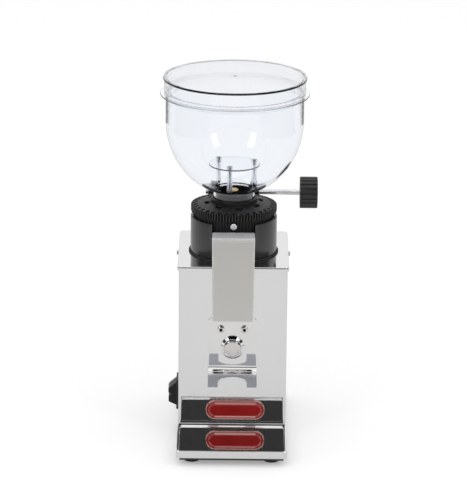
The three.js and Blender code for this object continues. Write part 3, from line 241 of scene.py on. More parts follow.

# %% [markdown]
# Some pieces have two states in one finish, and a mask on the mesh says where each is. `repaint`
# puts a second colour, roughness or both over a material where the mask is 1. The chute is satin
# sheet: its bent edges and the roof's edge carry a painted highlight, its roof is duller and its
# inside is painted dark as painted shade. The fork's plate is blasted, and a screw's socket is
# painted dark as painted shade.

# %% Masks
def cover(tree, inputs, share, colour=None, rough=None):
    """Leads from a material's own colour and roughness to other ones as share goes up to 1."""
    if colour is not None:
        own = inputs["Base Color"].links[0].from_socket
        tree.links.new(blend_colours(tree, share, own, colour), inputs["Base Color"])
    if rough is not None:
        own = inputs["Roughness"].links[0].from_socket
        mix = put(tree, "ShaderNodeMix", {0: share, 2: own, 3: rough})
        tree.links.new(mix.outputs[0], inputs["Roughness"])


def repaint(material, mask, colour=None, rough=None):
    """Covers a material where a mask on the mesh says so."""
    tree = material.node_tree
    share = put(tree, "ShaderNodeAttribute", attribute_name=mask).outputs["Fac"]
    cover(tree, tree.nodes["Principled BSDF"].inputs, share, colour, rough)


chute_steel = metal("chute satin", (0.69, 0.675, 0.64), (0.66, 0.645, 0.61), 0.42, 0.47, 20.0, 0.03,
                    (900, 900, 14))
bright_screw = metal("bright screw", (0.88, 0.88, 0.89), (0.80, 0.80, 0.81), 0.03, 0.08, 90.0, 0.01)
for material, mask, colour, rough in (
        # Painted highlight: a pale colour and a lower roughness on the chute's bent edges.
        (chute_steel, "bend", (0.97, 0.97, 0.96), 0.22),
        (chute_steel, "roof", (0.76, 0.76, 0.78), 0.80),
        # Painted shade: the chute's inside is made nearly black.
        (chute_steel, "inside", (0.12, 0.115, 0.11), 0.5),
        # Painted shade: the screw's socket is made nearly black (last entry).
        (fork_steel, "plate", (0.55, 0.56, 0.625), 0.55), (bright_screw, "socket_shade", 0.02, 0.5)):
    repaint(material, mask, colour, rough)
print("finishes in two states ready")

# %% [markdown]
# ## Blacks, rubber and enamel
# None of the blacks is truly black: paint, moulded plastic and rubber differ in how they break
# the light. Paint has a slight orange peel, plastic a fine grain with paler edges, partly wear and
# partly painted highlight, rubber is dusty and rough. The knob's plastic is a little paler and
# shinier than the grind wheel's, whose hollows and gaps are painted nearly black: painted shade.

# %% Paint, plastic and rubber
def coated(name, colour, pale, rough, rough_dull, size, bump, edge, shine=0.5, coat=0.0):
    """A non-metal between a clean and a dusty colour, with grain of a size and paler edges: wear,
    and a painted highlight.
    """
    material, tree, inputs = finish(name, (colour, pale), (rough, rough_dull), 35.0, 1.8,
                                    Specular_IOR_Level=shine, Coat_Weight=coat, Coat_Roughness=0.05)
    cover(tree, inputs, use_group(tree, edges), edge)
    ripple(tree, inputs, use_group(tree, grain, Size=size), bump, 0.0003)
    return material


black_paint = coated("black paint", 0.008, 0.012, 0.16, 0.24, 900.0, 0.08, 0.04, 0.6)
black_plastic = coated("black plastic", 0.006, 0.012, 0.36, 0.50, 2200.0, 0.20, 0.035, 0.25)
# Painted highlight, besides wear: the wheel's and the knob's paler edges stand in for edge
# highlights.
wheel_plastic = coated("wheel plastic", 0.008, 0.014, 0.36, 0.50, 2200.0, 0.20, 0.05, 0.25)
knob_plastic = coated("knob plastic", 0.022, 0.030, 0.28, 0.40, 2200.0, 0.12, 0.06, 0.4)
black_rubber = coated("black rubber", 0.016, (0.035, 0.034, 0.033), 0.70, 0.90, 1600.0, 0.35, 0.05)
# Painted shade: the wheel's hollows and tooth gaps are made nearly black and rough.
repaint(wheel_plastic, "hollow_shade", 0.001, 0.9)
print("blacks ready")

# %% [markdown]
# The badge is a deep red plate under a clear domed drop. Near the drop's edge a mask paints two
# pale lines: a painted highlight. The rim is bare metal with a reddish tone: the mask `rim`
# gives it that colour and makes it metallic.

# %% Domed red badge
badge_red = coated("badge enamel", (0.25, 0.004, 0.003), (0.31, 0.006, 0.005), 0.22, 0.30, 500.0,
                   0.02, (0.31, 0.008, 0.006), shine=0.2, coat=1.0)
# Painted highlight: two pale lines near the drop's edge.
repaint(badge_red, "painted_highlight", (1.0, 0.66, 0.62))
repaint(badge_red, "rim", (0.72, 0.40, 0.36))
tree = badge_red.node_tree
rim = put(tree, "ShaderNodeAttribute", attribute_name="rim").outputs["Fac"]
tree.links.new(rim, tree.nodes["Principled BSDF"].inputs["Metallic"])
print("badge enamel ready")

# %% [markdown]
# ## Clear plastic
# The hopper is clear moulded plastic with a faint cool tint. It is a true glass-like shader with
# plastic's refraction. Light that goes through its wall bends twice and comes out nearly white.
# The mask `rim` paints the rims, where the eye looks along the sheet, dark: painted shade, on the
# cap darkest at the front. The mask `ends` paints the finger guard's pins dark at both ends: also
# painted shade.

# %% Clear plastic
def clear_plastic(name, colour, cloudy, rough=0.0, rough_cloudy=0.025):
    """A transmitting plastic whose tint and roughness change a little over the moulding."""
    material, tree, inputs = finish(name, (colour, cloudy), (rough, rough_cloudy), 14.0, 1.4,
                                    Transmission_Weight=1.0, IOR=1.49)
    ripple(tree, inputs, use_group(tree, grain, Size=300.0), 0.01, 0.0003)
    return material


hopper_clear = clear_plastic("clear hopper", (0.936, 0.953, 0.976), (0.928, 0.946, 0.972))
cap_clear = clear_plastic("clear cap", (0.945, 0.950, 0.972), (0.938, 0.944, 0.968), 0.05, 0.08)
guard_clear = clear_plastic("clear guard", (0.940, 0.948, 0.972), (0.932, 0.940, 0.968))
pin_clear = clear_plastic("guard pin", (0.88, 0.88, 0.96), (0.85, 0.85, 0.94), 0.05, 0.10)
# Painted shade: dark rims on the clear plastics and dark ends on the guard's pins.
for material, mask, colour in (
        (hopper_clear, "rim", (0.10, 0.10, 0.11)), (guard_clear, "rim", (0.10, 0.10, 0.11)),
        (cap_clear, "rim", (0.02, 0.02, 0.025)), (pin_clear, "ends", (0.004, 0.004, 0.005))):
    repaint(material, mask, colour)
print("clear plastics ready")

# %% [markdown]
# ## Shapes as grids
# Almost every piece here is a stack of rings: a round pot is circles of changing radius, a tray
# is rounded rectangles of changing size. `stack` joins such rings with four-sided faces, and
# `solid` puts the result into Blender. There the doubled points of poles and seams are merged
# and all faces are turned outwards.

# %% Grids and solids
MM = 0.001


def stack(rings, close_rows=False, close_columns=True, caps=True):
    """Faces between rows of points: point (i, j) joins (i, j+1), (i+1, j+1) and (i+1, j)."""
    rings = np.asarray(rings, float)
    rows, columns = rings.shape[:2]
    i = np.arange(rows if close_rows else rows - 1)[:, None]
    j = np.arange(columns if close_columns else columns - 1)[None, :]
    right, down = (j + 1) % columns, (i + 1) % rows
    corners = [i * columns + j, i * columns + right, down * columns + right, down * columns + j]
    faces = np.stack(corners, axis=-1).reshape(-1, 4).tolist()
    if caps and not close_rows:
        faces += [list(range(columns)), list(range((rows - 1) * columns, rows * columns))]
    return rings.reshape(-1, 3), faces


def solid(name, shells, material, body, nodes, smooth=38, masks=None):
    """Joins shells (points in mm about the burr axis, faces) into one piece on a body."""
    points, faces, first = [], [], 0
    for shell_points, shell_faces in shells:
        points.append(shell_points)
        faces += [[first + corner for corner in face] for face in shell_faces]
        first += len(shell_points)
    mesh = bpy.data.meshes.new(name)
    mesh.from_pydata(((np.concatenate(points) + BURR_AXIS) * MM).tolist(), [], faces)
    sheet = bmesh.new()
    sheet.from_mesh(mesh)
    bmesh.ops.remove_doubles(sheet, verts=sheet.verts, dist=2e-7)
    bmesh.ops.recalc_face_normals(sheet, faces=sheet.faces)
    sheet.to_mesh(mesh)
    sheet.free()
    return finish_piece(name, mesh, material, body, nodes, smooth, masks)


def finish_piece(name, mesh, material, body, nodes, smooth, masks=None):
    """Gives a mesh its shading, masks and material, and puts it in the place of its CAD nodes."""
    mesh.shade_smooth()
    mesh.set_sharp_from_angle(angle=np.radians(smooth))
    corners = np.zeros(len(mesh.vertices) * 3)
    mesh.vertices.foreach_get("co", corners)
    corners = corners.reshape(-1, 3) / MM - BURR_AXIS
    for label, rule in (masks or {}).items():
        values = mesh.attributes.new(label, "FLOAT", "POINT")
        values.data.foreach_set("value", np.clip(rule(corners), 0, 1).astype(np.float32))
    mesh.materials.append(material)
    piece = bpy.data.objects.new(name, mesh)
    bpy.context.scene.collection.objects.link(piece)
    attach(piece, body)
    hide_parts(*nodes)
    pieces.append(piece)
    print(name, "faces:", len(mesh.polygons))
    return piece


pieces = []
slot_of = {entry["node"]: entry["material_slot"] for entry in frame["record"]["subparts"]}

# %% [markdown]
# A turned piece is its half outline carried round an axis. Real turned and moulded edges are
# never sharp, so `rounded` first replaces each corner of an outline by a small arc, worked out
# for all corners at once.

# %% Outlines and turning
def rounded(corners, radius, steps=4):
    """Each corner of a closed outline becomes an arc that touches both of its sides.

    The arc's centre lies on the corner's bisector, radius / sin(half angle) away, and its points
    run on a great circle between the two touching points.
    """
    corner = np.asarray(corners, float)
    back, ahead = np.roll(corner, 1, 0) - corner, np.roll(corner, -1, 0) - corner
    long_back, long_ahead = np.linalg.norm(back, axis=1), np.linalg.norm(ahead, axis=1)
    back, ahead = back / long_back[:, None], ahead / long_ahead[:, None]
    half = np.arccos(np.clip((back * ahead).sum(1), -1, 1)) / 2
    reach = np.minimum(np.broadcast_to(radius, half.shape) / np.tan(half),
                       0.49 * np.minimum(long_back, long_ahead))
    size = reach * np.tan(half)
    middle = back + ahead
    middle /= np.maximum(np.linalg.norm(middle, axis=1), 1e-9)[:, None]
    centre = corner + middle * (size / np.sin(half))[:, None]
    first = corner + back * reach[:, None] - centre
    last = corner + ahead * reach[:, None] - centre
    sweep = np.maximum(np.pi - 2 * half, 1e-6)[:, None]
    share = np.linspace(0, 1, steps + 1)[None, :]
    mix_first = np.sin((1 - share) * sweep) / np.sin(sweep)
    mix_last = np.sin(share * sweep) / np.sin(sweep)
    arcs = first[:, None] * mix_first[..., None] + last[:, None] * mix_last[..., None]
    return (centre[:, None] + arcs).reshape(-1, 2)


def ramp(value, width=1.0):
    """value / width, held between 0 and 1."""
    return np.clip(value / width, 0, 1)


def level(plan, z):
    """Puts the points of a plan at one height."""
    return np.c_[plan, np.full(len(plan), float(z))]


def polar(r, t, h=0.0):
    """Points x = r cos(t), y = r sin(t), z = h."""
    r, t, h = np.broadcast_arrays(r, t, h)
    return np.stack([r * np.cos(t), r * np.sin(t), h], axis=-1)


def along(points, axis, at=(0, 0, 0)):
    """Lays points made about z along another axis, such as -y for the front, and moves them."""
    x, y, z = points[..., 0], points[..., 1], points[..., 2]
    order = {"z": (x, y, z), "-y": (x, -z, y), "y": (-x, z, y), "x": (z, x, y), "-x": (-z, -x, y)}
    return np.stack(order[axis], axis=-1) + np.array(at, float)


def turned(profile, steps=96, axis="z", at=(0, 0, 0), wave=None):
    """Carries a closed outline of (r, h) round an axis.

    wave(t, r, h) may add to r and h, which makes flutes, teeth and pits.
    """
    t = np.linspace(0, 2 * np.pi, steps, endpoint=False)[:, None]
    r, h = (np.asarray(values, float)[None] + 0 * t for values in zip(*profile))
    if wave:
        more_r, more_h = wave(t, r, h)
        r, h = r + more_r, h + more_h
    return stack(along(polar(r, t, h), axis, at), close_rows=True)


print("a rounded square has", len(rounded([(0, 0), (1, 0), (1, 1), (0, 1)], 0.2)), "points")

# %% [markdown]
# ## Hopper bowl
# The bowl is blown wide: a narrow neck, then a quarter of an ellipse out to a straight wall, and
# a thin flange on which the cap sits. Its wall is 2.2 mm thick, so the outline goes up the
# outside and comes down the inside.

# %% Hopper bowl
BOWL_WAIST = 322.0  # where the straight wall begins


def bowl_curve(half_width, depth, neck, steps=48):
    """r = a sin(s), z = waist - b cos(s), from the neck's radius to the widest place."""
    s = np.linspace(np.arcsin(neck / half_width), np.pi / 2, steps)
    return np.stack([half_width * np.sin(s), BOWL_WAIST - depth * np.cos(s)], axis=1)


def far_out(p):
    """Each point's distance from the burr axis."""
    return np.hypot(p[:, 0], p[:, 1])


flange = rounded([(70.1, 349.2), (75.6, 349.2), (75.6, 350.4), (67.9, 350.4)], [0.3, 0.5, 0.5, 0.5])
bowl_outline = np.concatenate([
    [(19.2, 227.2), (20.6, 227.2), (21.0, 227.6)],
    bowl_curve(70.1, 77.2, 21.0), flange, bowl_curve(67.9, 75.0, 19.2)[::-1],
])
# Painted shade: the flange's edge is made dark.
solid("hopper_bowl_clear", [turned(bowl_outline, 144)], hopper_clear, "adjuster", ["hopper_bowl"],
      masks={"rim": lambda p: (far_out(p) > 75.5) * 0.45})

# %% [markdown]
# ## Cap
# The cap is a shallow disc with a skirt down to the flange and a short plug inside the bowl. The
# small pip in its middle is where the plastic entered the mould.

# %% Cap
cap_outline = rounded([
    (0, 367.4), (0, 365.2), (3, 365.2), (69.6, 365.2), (69.6, 352.7), (65.6, 352.7), (65.6, 345.0),
    (67.6, 345.0), (67.6, 350.7), (71.6, 350.7), (71.6, 365.2), (72.75, 365.2), (72.75, 367.4),
    (71.8, 367.4), (3, 367.4), (1.6, 367.4), (1.2, 366.9),
], [0, 0, 0, 0.6, 0.3, 0.3, 0.5, 0.5, 0.3, 0.3, 0.3, 0.3, 0.4, 0, 0, 0.2, 0.2])
# Painted shade: the cap's rim is made dark, darkest at the front.
solid("hopper_cap_clear", [turned(cap_outline, 144)], cap_clear, "cap", ["hopper_lid"],
      masks={"rim": lambda p: (far_out(p) > 72.6) * np.where(p[:, 1] < 0, 1.0, 0.35)})

# %% [markdown]
# ## Finger guard
# A clear disc on three posts keeps fingers away from the burrs. Each post is a tube with a cap
# above the disc, and a long pin goes down inside it. The pin's two ends are painted dark: painted
# shade.

# %% Finger guard
POSTS = polar(21.5, np.radians([-102, 18, 138]))
disc = rounded([(0, 275.0), (26.1, 275.0), (26.1, 276.4), (0, 276.4)], [0, 0.6, 0.6, 0])
post = rounded([(1.65, 252.4), (2.75, 252.4), (2.75, 274.9), (1.65, 274.9)], 0.2)
crown = rounded([(1.65, 276.5), (3.15, 276.5), (3.15, 279.0), (1.65, 279.0)], [0.2, 0.2, 0.8, 0.3])
shells = [turned(disc, 96)]
shells += [turned(ring, 28, at=spot) for spot in POSTS for ring in (post, crown)]


def guard_rim(p):
    """Painted shade on the disc's edge and on the mouths of the posts' caps."""
    from_post = np.min([np.hypot(p[:, 0] - x, p[:, 1] - y) for x, y, _ in POSTS], axis=0)
    return 0.4 * (far_out(p) > 25.9) + 0.35 * ((from_post < 2.0) & (p[:, 2] > 276.45))


solid("finger_guard_clear", shells, guard_clear, "adjuster", ["finger_guard"],
      masks={"rim": guard_rim})

pin = rounded([(0, 250.2), (1.3, 250.2), (1.3, 253.5), (1.2, 253.7), (1.2, 276.8), (1.35, 276.8),
               (1.35, 278.8), (0.5, 278.8), (0.5, 278.0), (0, 278.0)],
              [0, 0.2, 0, 0, 0, 0, 0.3, 0.1, 0.1, 0])
# Painted shade: both ends of each pin are made dark.
for number, spot in enumerate(POSTS, 1):
    solid(f"guard_screw_{number}_turned", [turned(pin, 20, at=spot)], pin_clear, "adjuster",
          [f"guard_screw_{number}"],
          masks={"ends": lambda p: 1.0 * ((p[:, 2] > 276.7) | (p[:, 2] < 253.6))})

# %% [markdown]
# ## Grind wheel
# The black wheel is what the worm drives: ninety teeth round a shallow cone. Its top has a ring
# of rim notches and eight long recesses. All of it is one grid: the teeth move points in and out
# by a trapezoid wave of the angle, and the pits lower the cone where a mask says so.

# %% Grind wheel
WHEEL_TEETH, TOOTH_ROOT = 90, 41.8


def teeth(angle, count, tip, root):
    """1 on a tooth's tip, 0 in the gap: a wave of the angle with straight flanks."""
    share = np.abs((angle * count / (2 * np.pi) + 0.5) % 1.0 - 0.5)
    return ramp(root - share, root - tip)


def wheel_wave(t, r, h):
    """Teeth where the outline is at the rim; rim notches and capsule recesses in the cone."""
    out = np.where(r > TOOTH_ROOT, 1.8 * teeth(t, WHEEL_TEETH, 0.15, 0.23), 0)
    step = 2 * np.pi / 34
    sideways = r * np.abs((t + np.pi / 2 + step / 2) % step - step / 2)
    notch = ramp(1.6 - sideways, 0.3) * ramp(2.0 - np.abs(r - 39.6), 0.3)
    away = (t + np.pi / 2 - np.pi / 16 + np.pi / 8) % (np.pi / 4) - np.pi / 8
    ahead, aside = r * np.cos(away) - 27.7, np.maximum(np.abs(r * np.sin(away)) - 1.95, 0)
    recess = ramp(2.5 - np.hypot(ahead, aside), 0.3)
    return out, np.where(h > 233.55, -3.0 * notch - 3.5 * recess, 0)


def cone_height(r):
    """The wheel's top, which rises by 3.4 mm from radius 41 inwards."""
    return 233.6 + 3.4 * ramp(41 - r, 16.6)


def wheel_hollow_shade(p):
    """Painted shade: how deep a point lies under the cone, and a fixed share in the gaps between
    teeth.
    """
    r = far_out(p)
    on_top = (r < 41.7) * (r > 24.3) * (p[:, 2] > 228)
    return (cone_height(r) - p[:, 2] - 0.3) * on_top + 0.8 * (r > 41.7) * (r < 42.9)


cone_r = np.linspace(41.6, 24.4, 50)
wheel_outline = np.concatenate([
    [(23.8, 227.2), (41.0, 227.2), (41.85, 227.2), (42.1, 227.5), (42.1, 233.3), (41.85, 233.6)],
    np.stack([cone_r, cone_height(cone_r)], axis=1),
    [(24.2, 237.0), (23.8, 236.7)],
])
# The hollow mask paints shade into the recesses and the tooth gaps.
solid("grind_wheel", [turned(wheel_outline, 720, wave=wheel_wave)], wheel_plastic, "adjuster",
      ["adjusting_wheel"], smooth=32, masks={"hollow_shade": wheel_hollow_shade})

# %% [markdown]
# ## Ribbed carrier and neck ring
# Under the wheel, the carrier that holds the outer burr has a grip of seventy-two ribs, and a
# black spout goes up from it inside the hopper's neck. A plain ring takes that neck outside.

# %% Carrier, neck ring and outer burr
def carrier_wave(t, r, h):
    """Ribs 0.8 mm high where the outline is at the grip."""
    return np.where(r > 39, 0.8 * teeth(t, 72, 0.2, 0.3), 0), 0 * h


carrier_outline = rounded([
    (25.3, 200.0), (30, 200.0), (30, 214.0), (39.4, 214.0), (39.4, 226.9), (18.9, 226.9),
    (18.9, 247.2), (17.5, 247.2), (17.5, 214.0), (25.3, 214.0),
], [0.4, 0.6, 0.4, 0.6, 0.6, 0.2, 0.4, 0.5, 0.3, 0.3], 3)
solid("burr_carrier_ribbed", [turned(carrier_outline, 576, wave=carrier_wave)], black_plastic,
      "adjuster", ["burr_carrier"], smooth=32)
ring_outline = rounded([(21.3, 227.2), (23.5, 227.2), (23.5, 241.3), (21.3, 241.3)],
                       [0.2, 0.3, 0.9, 0.5])
solid("neck_ring", [turned(ring_outline, 96)], black_plastic, "adjuster", ["hopper_collar"])


def burr_wave(t, r, h):
    """Cutting flutes: saw teeth that lean with the height."""
    return 1.0 * ((t * 24 / (2 * np.pi) + h * 0.08) % 1.0) * (np.abs(r - 17.8) < 3.2), 0 * h


outer_burr_outline = [(25, 200.3), (25, 213.7), (15.4, 213.7), (17.8, 207), (20.3, 200.3)]
solid("outer_burr_ring", [turned(outer_burr_outline, 288, wave=burr_wave)], tool_steel, "adjuster",
      ["outer_burr"], smooth=20)

# %% [markdown]
# ## Housing
# The black housing is a drum with a window in front, cut straight through its wall. Below the
# sill the outline goes all the way round. Above it, each radius starts where the window's
# straight side meets it, at the angle whose sine is half the window over the radius.

# %% Housing and gasket
def open_turned(profile, half_gap, steps=120):
    """A wall swept round the axis but for a gap of 2 x half_gap with straight sides in front."""
    r, h = np.asarray(profile, float).T[:, None]
    gap = np.arcsin(half_gap / r)
    s = np.linspace(0, 1, steps)[:, None]
    return stack(polar(r, -np.pi / 2 + gap + s * (2 * np.pi - 2 * gap), h))


drum = rounded([(8.5, 190), (41, 190), (41, 193), (44.15, 193), (44.15, 185.6), (23.6, 185.6),
                (23.6, 176.5), (11.3, 176.5), (11.3, 184), (8.5, 184)],
               [0, 0, 0, 0, 0.5, 0.3, 0.5, 0.3, 0, 0.3])
wall = rounded([(41, 193), (44.15, 193), (44.15, 222.3), (41, 222.3)], [0, 0, 1.0, 0.5])
solid("housing_drum", [turned(drum, 120), open_turned(wall, 21.9)], black_paint, "machine",
      ["grinder_housing"])
gasket_outline = rounded([(23.9, 184.3), (45.9, 184.3), (45.9, 185.3), (23.9, 185.3)], 0.3)
solid("gasket_ring", [turned(gasket_outline, 120)], black_rubber, "machine", ["housing_gasket"])

# %% [markdown]
# ## Burr nut and inner burr
# Down the throat shines the golden nut that holds the inner burr: a six-sided foot and a round
# nose. The burr below it is a cone with deep slanted flutes.

# %% Burr nut and inner burr
def hex_reach(t):
    """How far a hexagon of inner radius 1 reaches: 1 / cos of the angle to its flat."""
    return 1 / np.cos((t + np.pi / 6) % (np.pi / 3) - np.pi / 6)


def nut_wave(t, r, h):
    """The foot's round outline drawn in to six flats."""
    return np.where((h < 231.3) & (r > 6.9), 6.25 * hex_reach(t) - r, 0), 0 * h


nut_outline = rounded([(4.3, 226.1), (7.2, 226.1), (7.2, 231.2), (5.0, 232.0), (5.0, 249.0),
                       (0, 249.0), (0, 233.5), (4.3, 233.5)], [0.2, 0.1, 0.1, 0.4, 2.2, 0, 0, 0.2])
solid("golden_nut", [turned(nut_outline, 96, wave=nut_wave)], golden_brass, "drive", ["burr_nut"])


def cone_wave(t, r, h):
    """Six deep flutes that turn with the height, with a saw-tooth section."""
    depth = np.where(r > 7.0, 0.16 * r, 0)
    return -depth * ((t * 6 / (2 * np.pi) - h * 0.035) % 1.0), 0 * h


heights = np.linspace(201.0, 225.8, 26)
cone_radius = np.where(heights < 213.5, 19.3 - (heights - 201) * 0.6,
                       11.8 - (heights - 213.5) * 0.35)
cone_outline = np.concatenate([[(4.3, 197.8), (19.3, 197.8)], np.stack([cone_radius, heights], 1),
                               [(4.3, 225.8)]])
solid("inner_burr_cone", [turned(cone_outline, 240, wave=cone_wave)], tool_steel, "drive",
      ["inner_burr"], smooth=25)

# %% [markdown]
# ## Worm, its shaft and the knob
# Behind the wheel lies the worm: a shaft with a helical thread. On a grid of the length x and
# the angle t, the radius is the core plus a trapezoid wave of x - pitch * t / 2 pi. The knob on
# its right end has twenty soft ribs.

# %% Worm shaft
PITCH_MM = 2 * np.pi * 43.45 / WHEEL_TEETH  # one tooth's share of the wheel's pitch circle
WORM_AT = (0, 48.5, 232.4)


def worm_surface(columns=40, rows=340):
    """Radius as a function of length and angle, with round steps where the shaft changes."""
    x = np.linspace(-29.5, 80.4, rows)[:, None]
    t = np.linspace(0, 2 * np.pi, columns, endpoint=False)[None, :]
    turn_share = ((x - PITCH_MM * (t - np.pi) / (2 * np.pi)) / PITCH_MM + 0.5) % 1.0 - 0.5
    thread = ramp(0.215 - np.abs(turn_share), 0.1) * 1.5 * (np.abs(x) < 12.2)
    core = 2.75 + 1.25 * ramp(17.7 - np.abs(x), 0.3)
    return along(polar(core + thread, t, x), "x", WORM_AT)


solid("worm_threaded", [stack(worm_surface())], shaft_steel, "worm", ["worm_shaft"], smooth=50)

# %% Knob
def knob_wave(t, r, h):
    """Twenty ribs with rounded flanks where the outline is at the grip."""
    rib = teeth(t, 20, 0.2, 0.42)
    return np.where(r > 14.4, -1.5 * (1 - rib * rib * (3 - 2 * rib)), 0), 0 * h


knob_outline = rounded([(2.95, 68.2), (16.4, 68.2), (16.4, 86.6), (12.6, 86.6), (12.0, 85.6),
                        (0, 85.6), (0, 80.7), (2.95, 80.7)], [0.3, 0.9, 1.2, 0.4, 0.4, 0, 0, 0.3])
solid("fluted_knob", [turned(knob_outline, 400, "x", WORM_AT, knob_wave)], knob_plastic, "worm",
      ["adjusting_knob"], smooth=40)

# %% [markdown]
# ## Folded steel body
# One sheet, bent round the front and both sides, makes the body. A path in plan is carried up,
# which gives the outer skin; the faces in the switch's hole are left out, and Blender's Solidify
# gives the sheet its 1.2 mm inwards.

# %% Body shell
def folded_sheet(path, levels, hole):
    """A skin over a plan path and a list of heights, without the faces in hole(x, y, z)."""
    points, faces = stack([level(path, z) for z in levels], close_columns=False, caps=False)
    middle = points[np.array(faces)].mean(1)
    return points, [face for face, cut in zip(faces, hole(*middle.T)) if not cut]


def bend_points(corner, start, radius, steps=10):
    """A quarter circle in plan about a corner's centre, from a starting angle."""
    a = np.radians(start + np.linspace(0, 90, steps + 1))
    return polar(radius, a)[:, :2] + corner


SHEET = 1.2  # the steel sheet's thickness
body_path = np.concatenate([
    [(-43, 66.0), (-54.2, 66.0), (-55, 65.2), (-55, -20.9), (-55, -43.1)],
    bend_points((-52, -54.5), 180, 3.0), bend_points((52, -54.5), 270, 3.0),
    [(55, 65.2), (54.2, 66.0), (43, 66.0)],
])
body_levels = (7.3, 26.6, 56.8, 182.5)
switch_hole = lambda x, y, z: (x < -54) & (y < -20.9) & (y > -43.1) & (z > 26.6) & (z < 56.8)
body_piece = solid("folded_body", [folded_sheet(body_path, body_levels, switch_hole)],
                   polished_steel, "machine", ["body_shell"], smooth=25)
thickness = body_piece.modifiers.new("sheet", "SOLIDIFY")
thickness.thickness, thickness.offset = -SHEET * MM, 1.0

# %% [markdown]
# ## Top plate
# A lid of the same sheet closes the body, with its edge folded down all round. Every ring of
# points is a rounded rectangle, drawn in by some inset, at some height. The innermost ones are
# circles, because the housing's spigot goes through there.

# %% Rings of rounded rectangles
def box_ring(box, inset, radius, z, rear=None, steps=8):
    """A box (left, front, right, rear) drawn in by an inset, at its rear side by one of its own."""
    left, front, right, back = box
    left, front, right = left + inset, front + inset, right - inset
    back -= inset if rear is None else rear
    corners = [(right, back), (left, back), (left, front), (right, front)]
    return level(rounded(corners, radius, steps), z)


def circle_like(ring, radius, z):
    """A circle about the axis with its points at the same directions as a given ring's."""
    return level(ring[:, :2] / np.linalg.norm(ring[:, :2], axis=1)[:, None] * radius, z)


plate_box = (-56.5, -59.0, 56.5, 69.0)
outside = [(0.15, 3.9, 179.25), (0.0, 4.0, 179.4), (0.0, 4.0, 182.5), (0.03, 3.9, 182.62),
           (0.32, 3.8, 183.45), (0.45, 3.7, 183.7), (0.95, 3.3, 184.0)]
spigot_hole = [(24.2, 184.0), (24.0, 183.8), (24.0, 182.9), (24.1, 182.8)]
underside = [(1.7, 2.6, 182.8), (1.2, 2.8, 182.3), (1.2, 2.8, 179.4), (1.05, 2.9, 179.25)]
rings = [box_ring(plate_box, *ring) for ring in outside]
rings += [circle_like(rings[1], *ring) for ring in spigot_hole]
rings += [box_ring(plate_box, *ring) for ring in underside]
solid("folded_top", [stack(rings, close_rows=True)], polished_steel, "machine", ["top_plate"])

# %% [markdown]
# ## Drip tray
# The tray in front is a pressed sheet with a raised rim and a mirror floor. It is open towards
# the body and below, since it slides over two rails. So the outer wall's lower edge is not at one
# height: along the rear side it stays up, above the rails.

# %% Grounds tray
tray_box = (-55.5, -136.3, 55.5, -57.8)


def lift_rear(ring, z):
    """Raises the points of a ring's rear side to a height."""
    ring[:, 2] = np.where(ring[:, 1] > -59.4, np.maximum(ring[:, 2], z), ring[:, 2])
    return ring


inner_rings = [(6.0, 1.5, 14.3, 9.5), (3.2, 2.0, 14.3, 7.4), (2.8, 2.2, 14.4, 6.9),
               (2.6, 2.4, 14.65, 6.5), (2.55, 2.4, 15.1, 6.2), (2.5, 2.4, 15.45, 5.9),
               (2.4, 2.5, 15.7, 5.6), (2.1, 2.6, 15.8, 5.1), (0.7, 2.9, 15.8, 0.35),
               (0.25, 3.0, 15.65, 0.12), (0.0, 3.0, 15.2)]
outer_rings = [(0.0, 3.0, 8.35), (0.15, 2.9, 8.2), (1.05, 2.1, 8.2), (1.2, 2.0, 8.35)]
under_rings = [(1.3, 2.0, 13.1), (6.0, 1.5, 13.1, 9.5)]
rings = [box_ring(tray_box, *ring) for ring in inner_rings]
rings += [lift_rear(box_ring(tray_box, *ring), 13.1) for ring in outer_rings]
rings += [box_ring(tray_box, *ring) for ring in under_rings]
solid("pressed_tray", [stack(rings)], polished_steel, "tray", ["grounds_tray"], smooth=30)

# %% [markdown]
# ## Chute
# The chute carries the grounds from the window down past the front. In plan it is a channel with
# softly bent front corners. Going down, its front leans out and its sides draw in, so the same
# channel is worked out at a run of heights. Below the top plate's level a back closes it.

# %% Chute
CHUTE_TOP, CHUTE_FOOT, CHUTE_REAR = 216.2, 135.0, -44.5
CHUTE_HALF, CHUTE_FRONT, CHUTE_BEND = 21.6, -64.0, 1.4


def chute_front(z):
    """The front face's y at a height: it leans out by 20 mm on its way down."""
    return CHUTE_FRONT - 20.0 * (CHUTE_TOP - z) / (CHUTE_TOP - CHUTE_FOOT)


def chute_half(z):
    """Half the chute's width at a height: it loses 0.95 mm on its way down."""
    return CHUTE_HALF - 0.95 * (CHUTE_TOP - z) / (CHUTE_TOP - CHUTE_FOOT)


def channel(z, rear, steps=6):
    """A closed thin U in plan: outer skin from rear left to rear right, inner skin back."""
    skins = []
    for inset, bend in ((0, CHUTE_BEND), (SHEET, CHUTE_BEND - SHEET)):
        half, front = chute_half(z) - inset, chute_front(z) + inset
        skins.append(np.concatenate([
            [(-half, rear)], bend_points((-half + bend, front + bend), 180, bend, steps),
            bend_points((half - bend, front + bend), 270, bend, steps), [(half, rear)]]))
    return level(np.concatenate([skins[0], skins[1][::-1]]), z)


def wall_block(low, high):
    """A plain closed block between two corners, as two rings."""
    (x0, y0, z0), (x1, y1, z1) = low, high
    ring = [(x0, y0), (x1, y0), (x1, y1), (x0, y1)]
    return stack([level(ring, z0), level(ring, z1)])


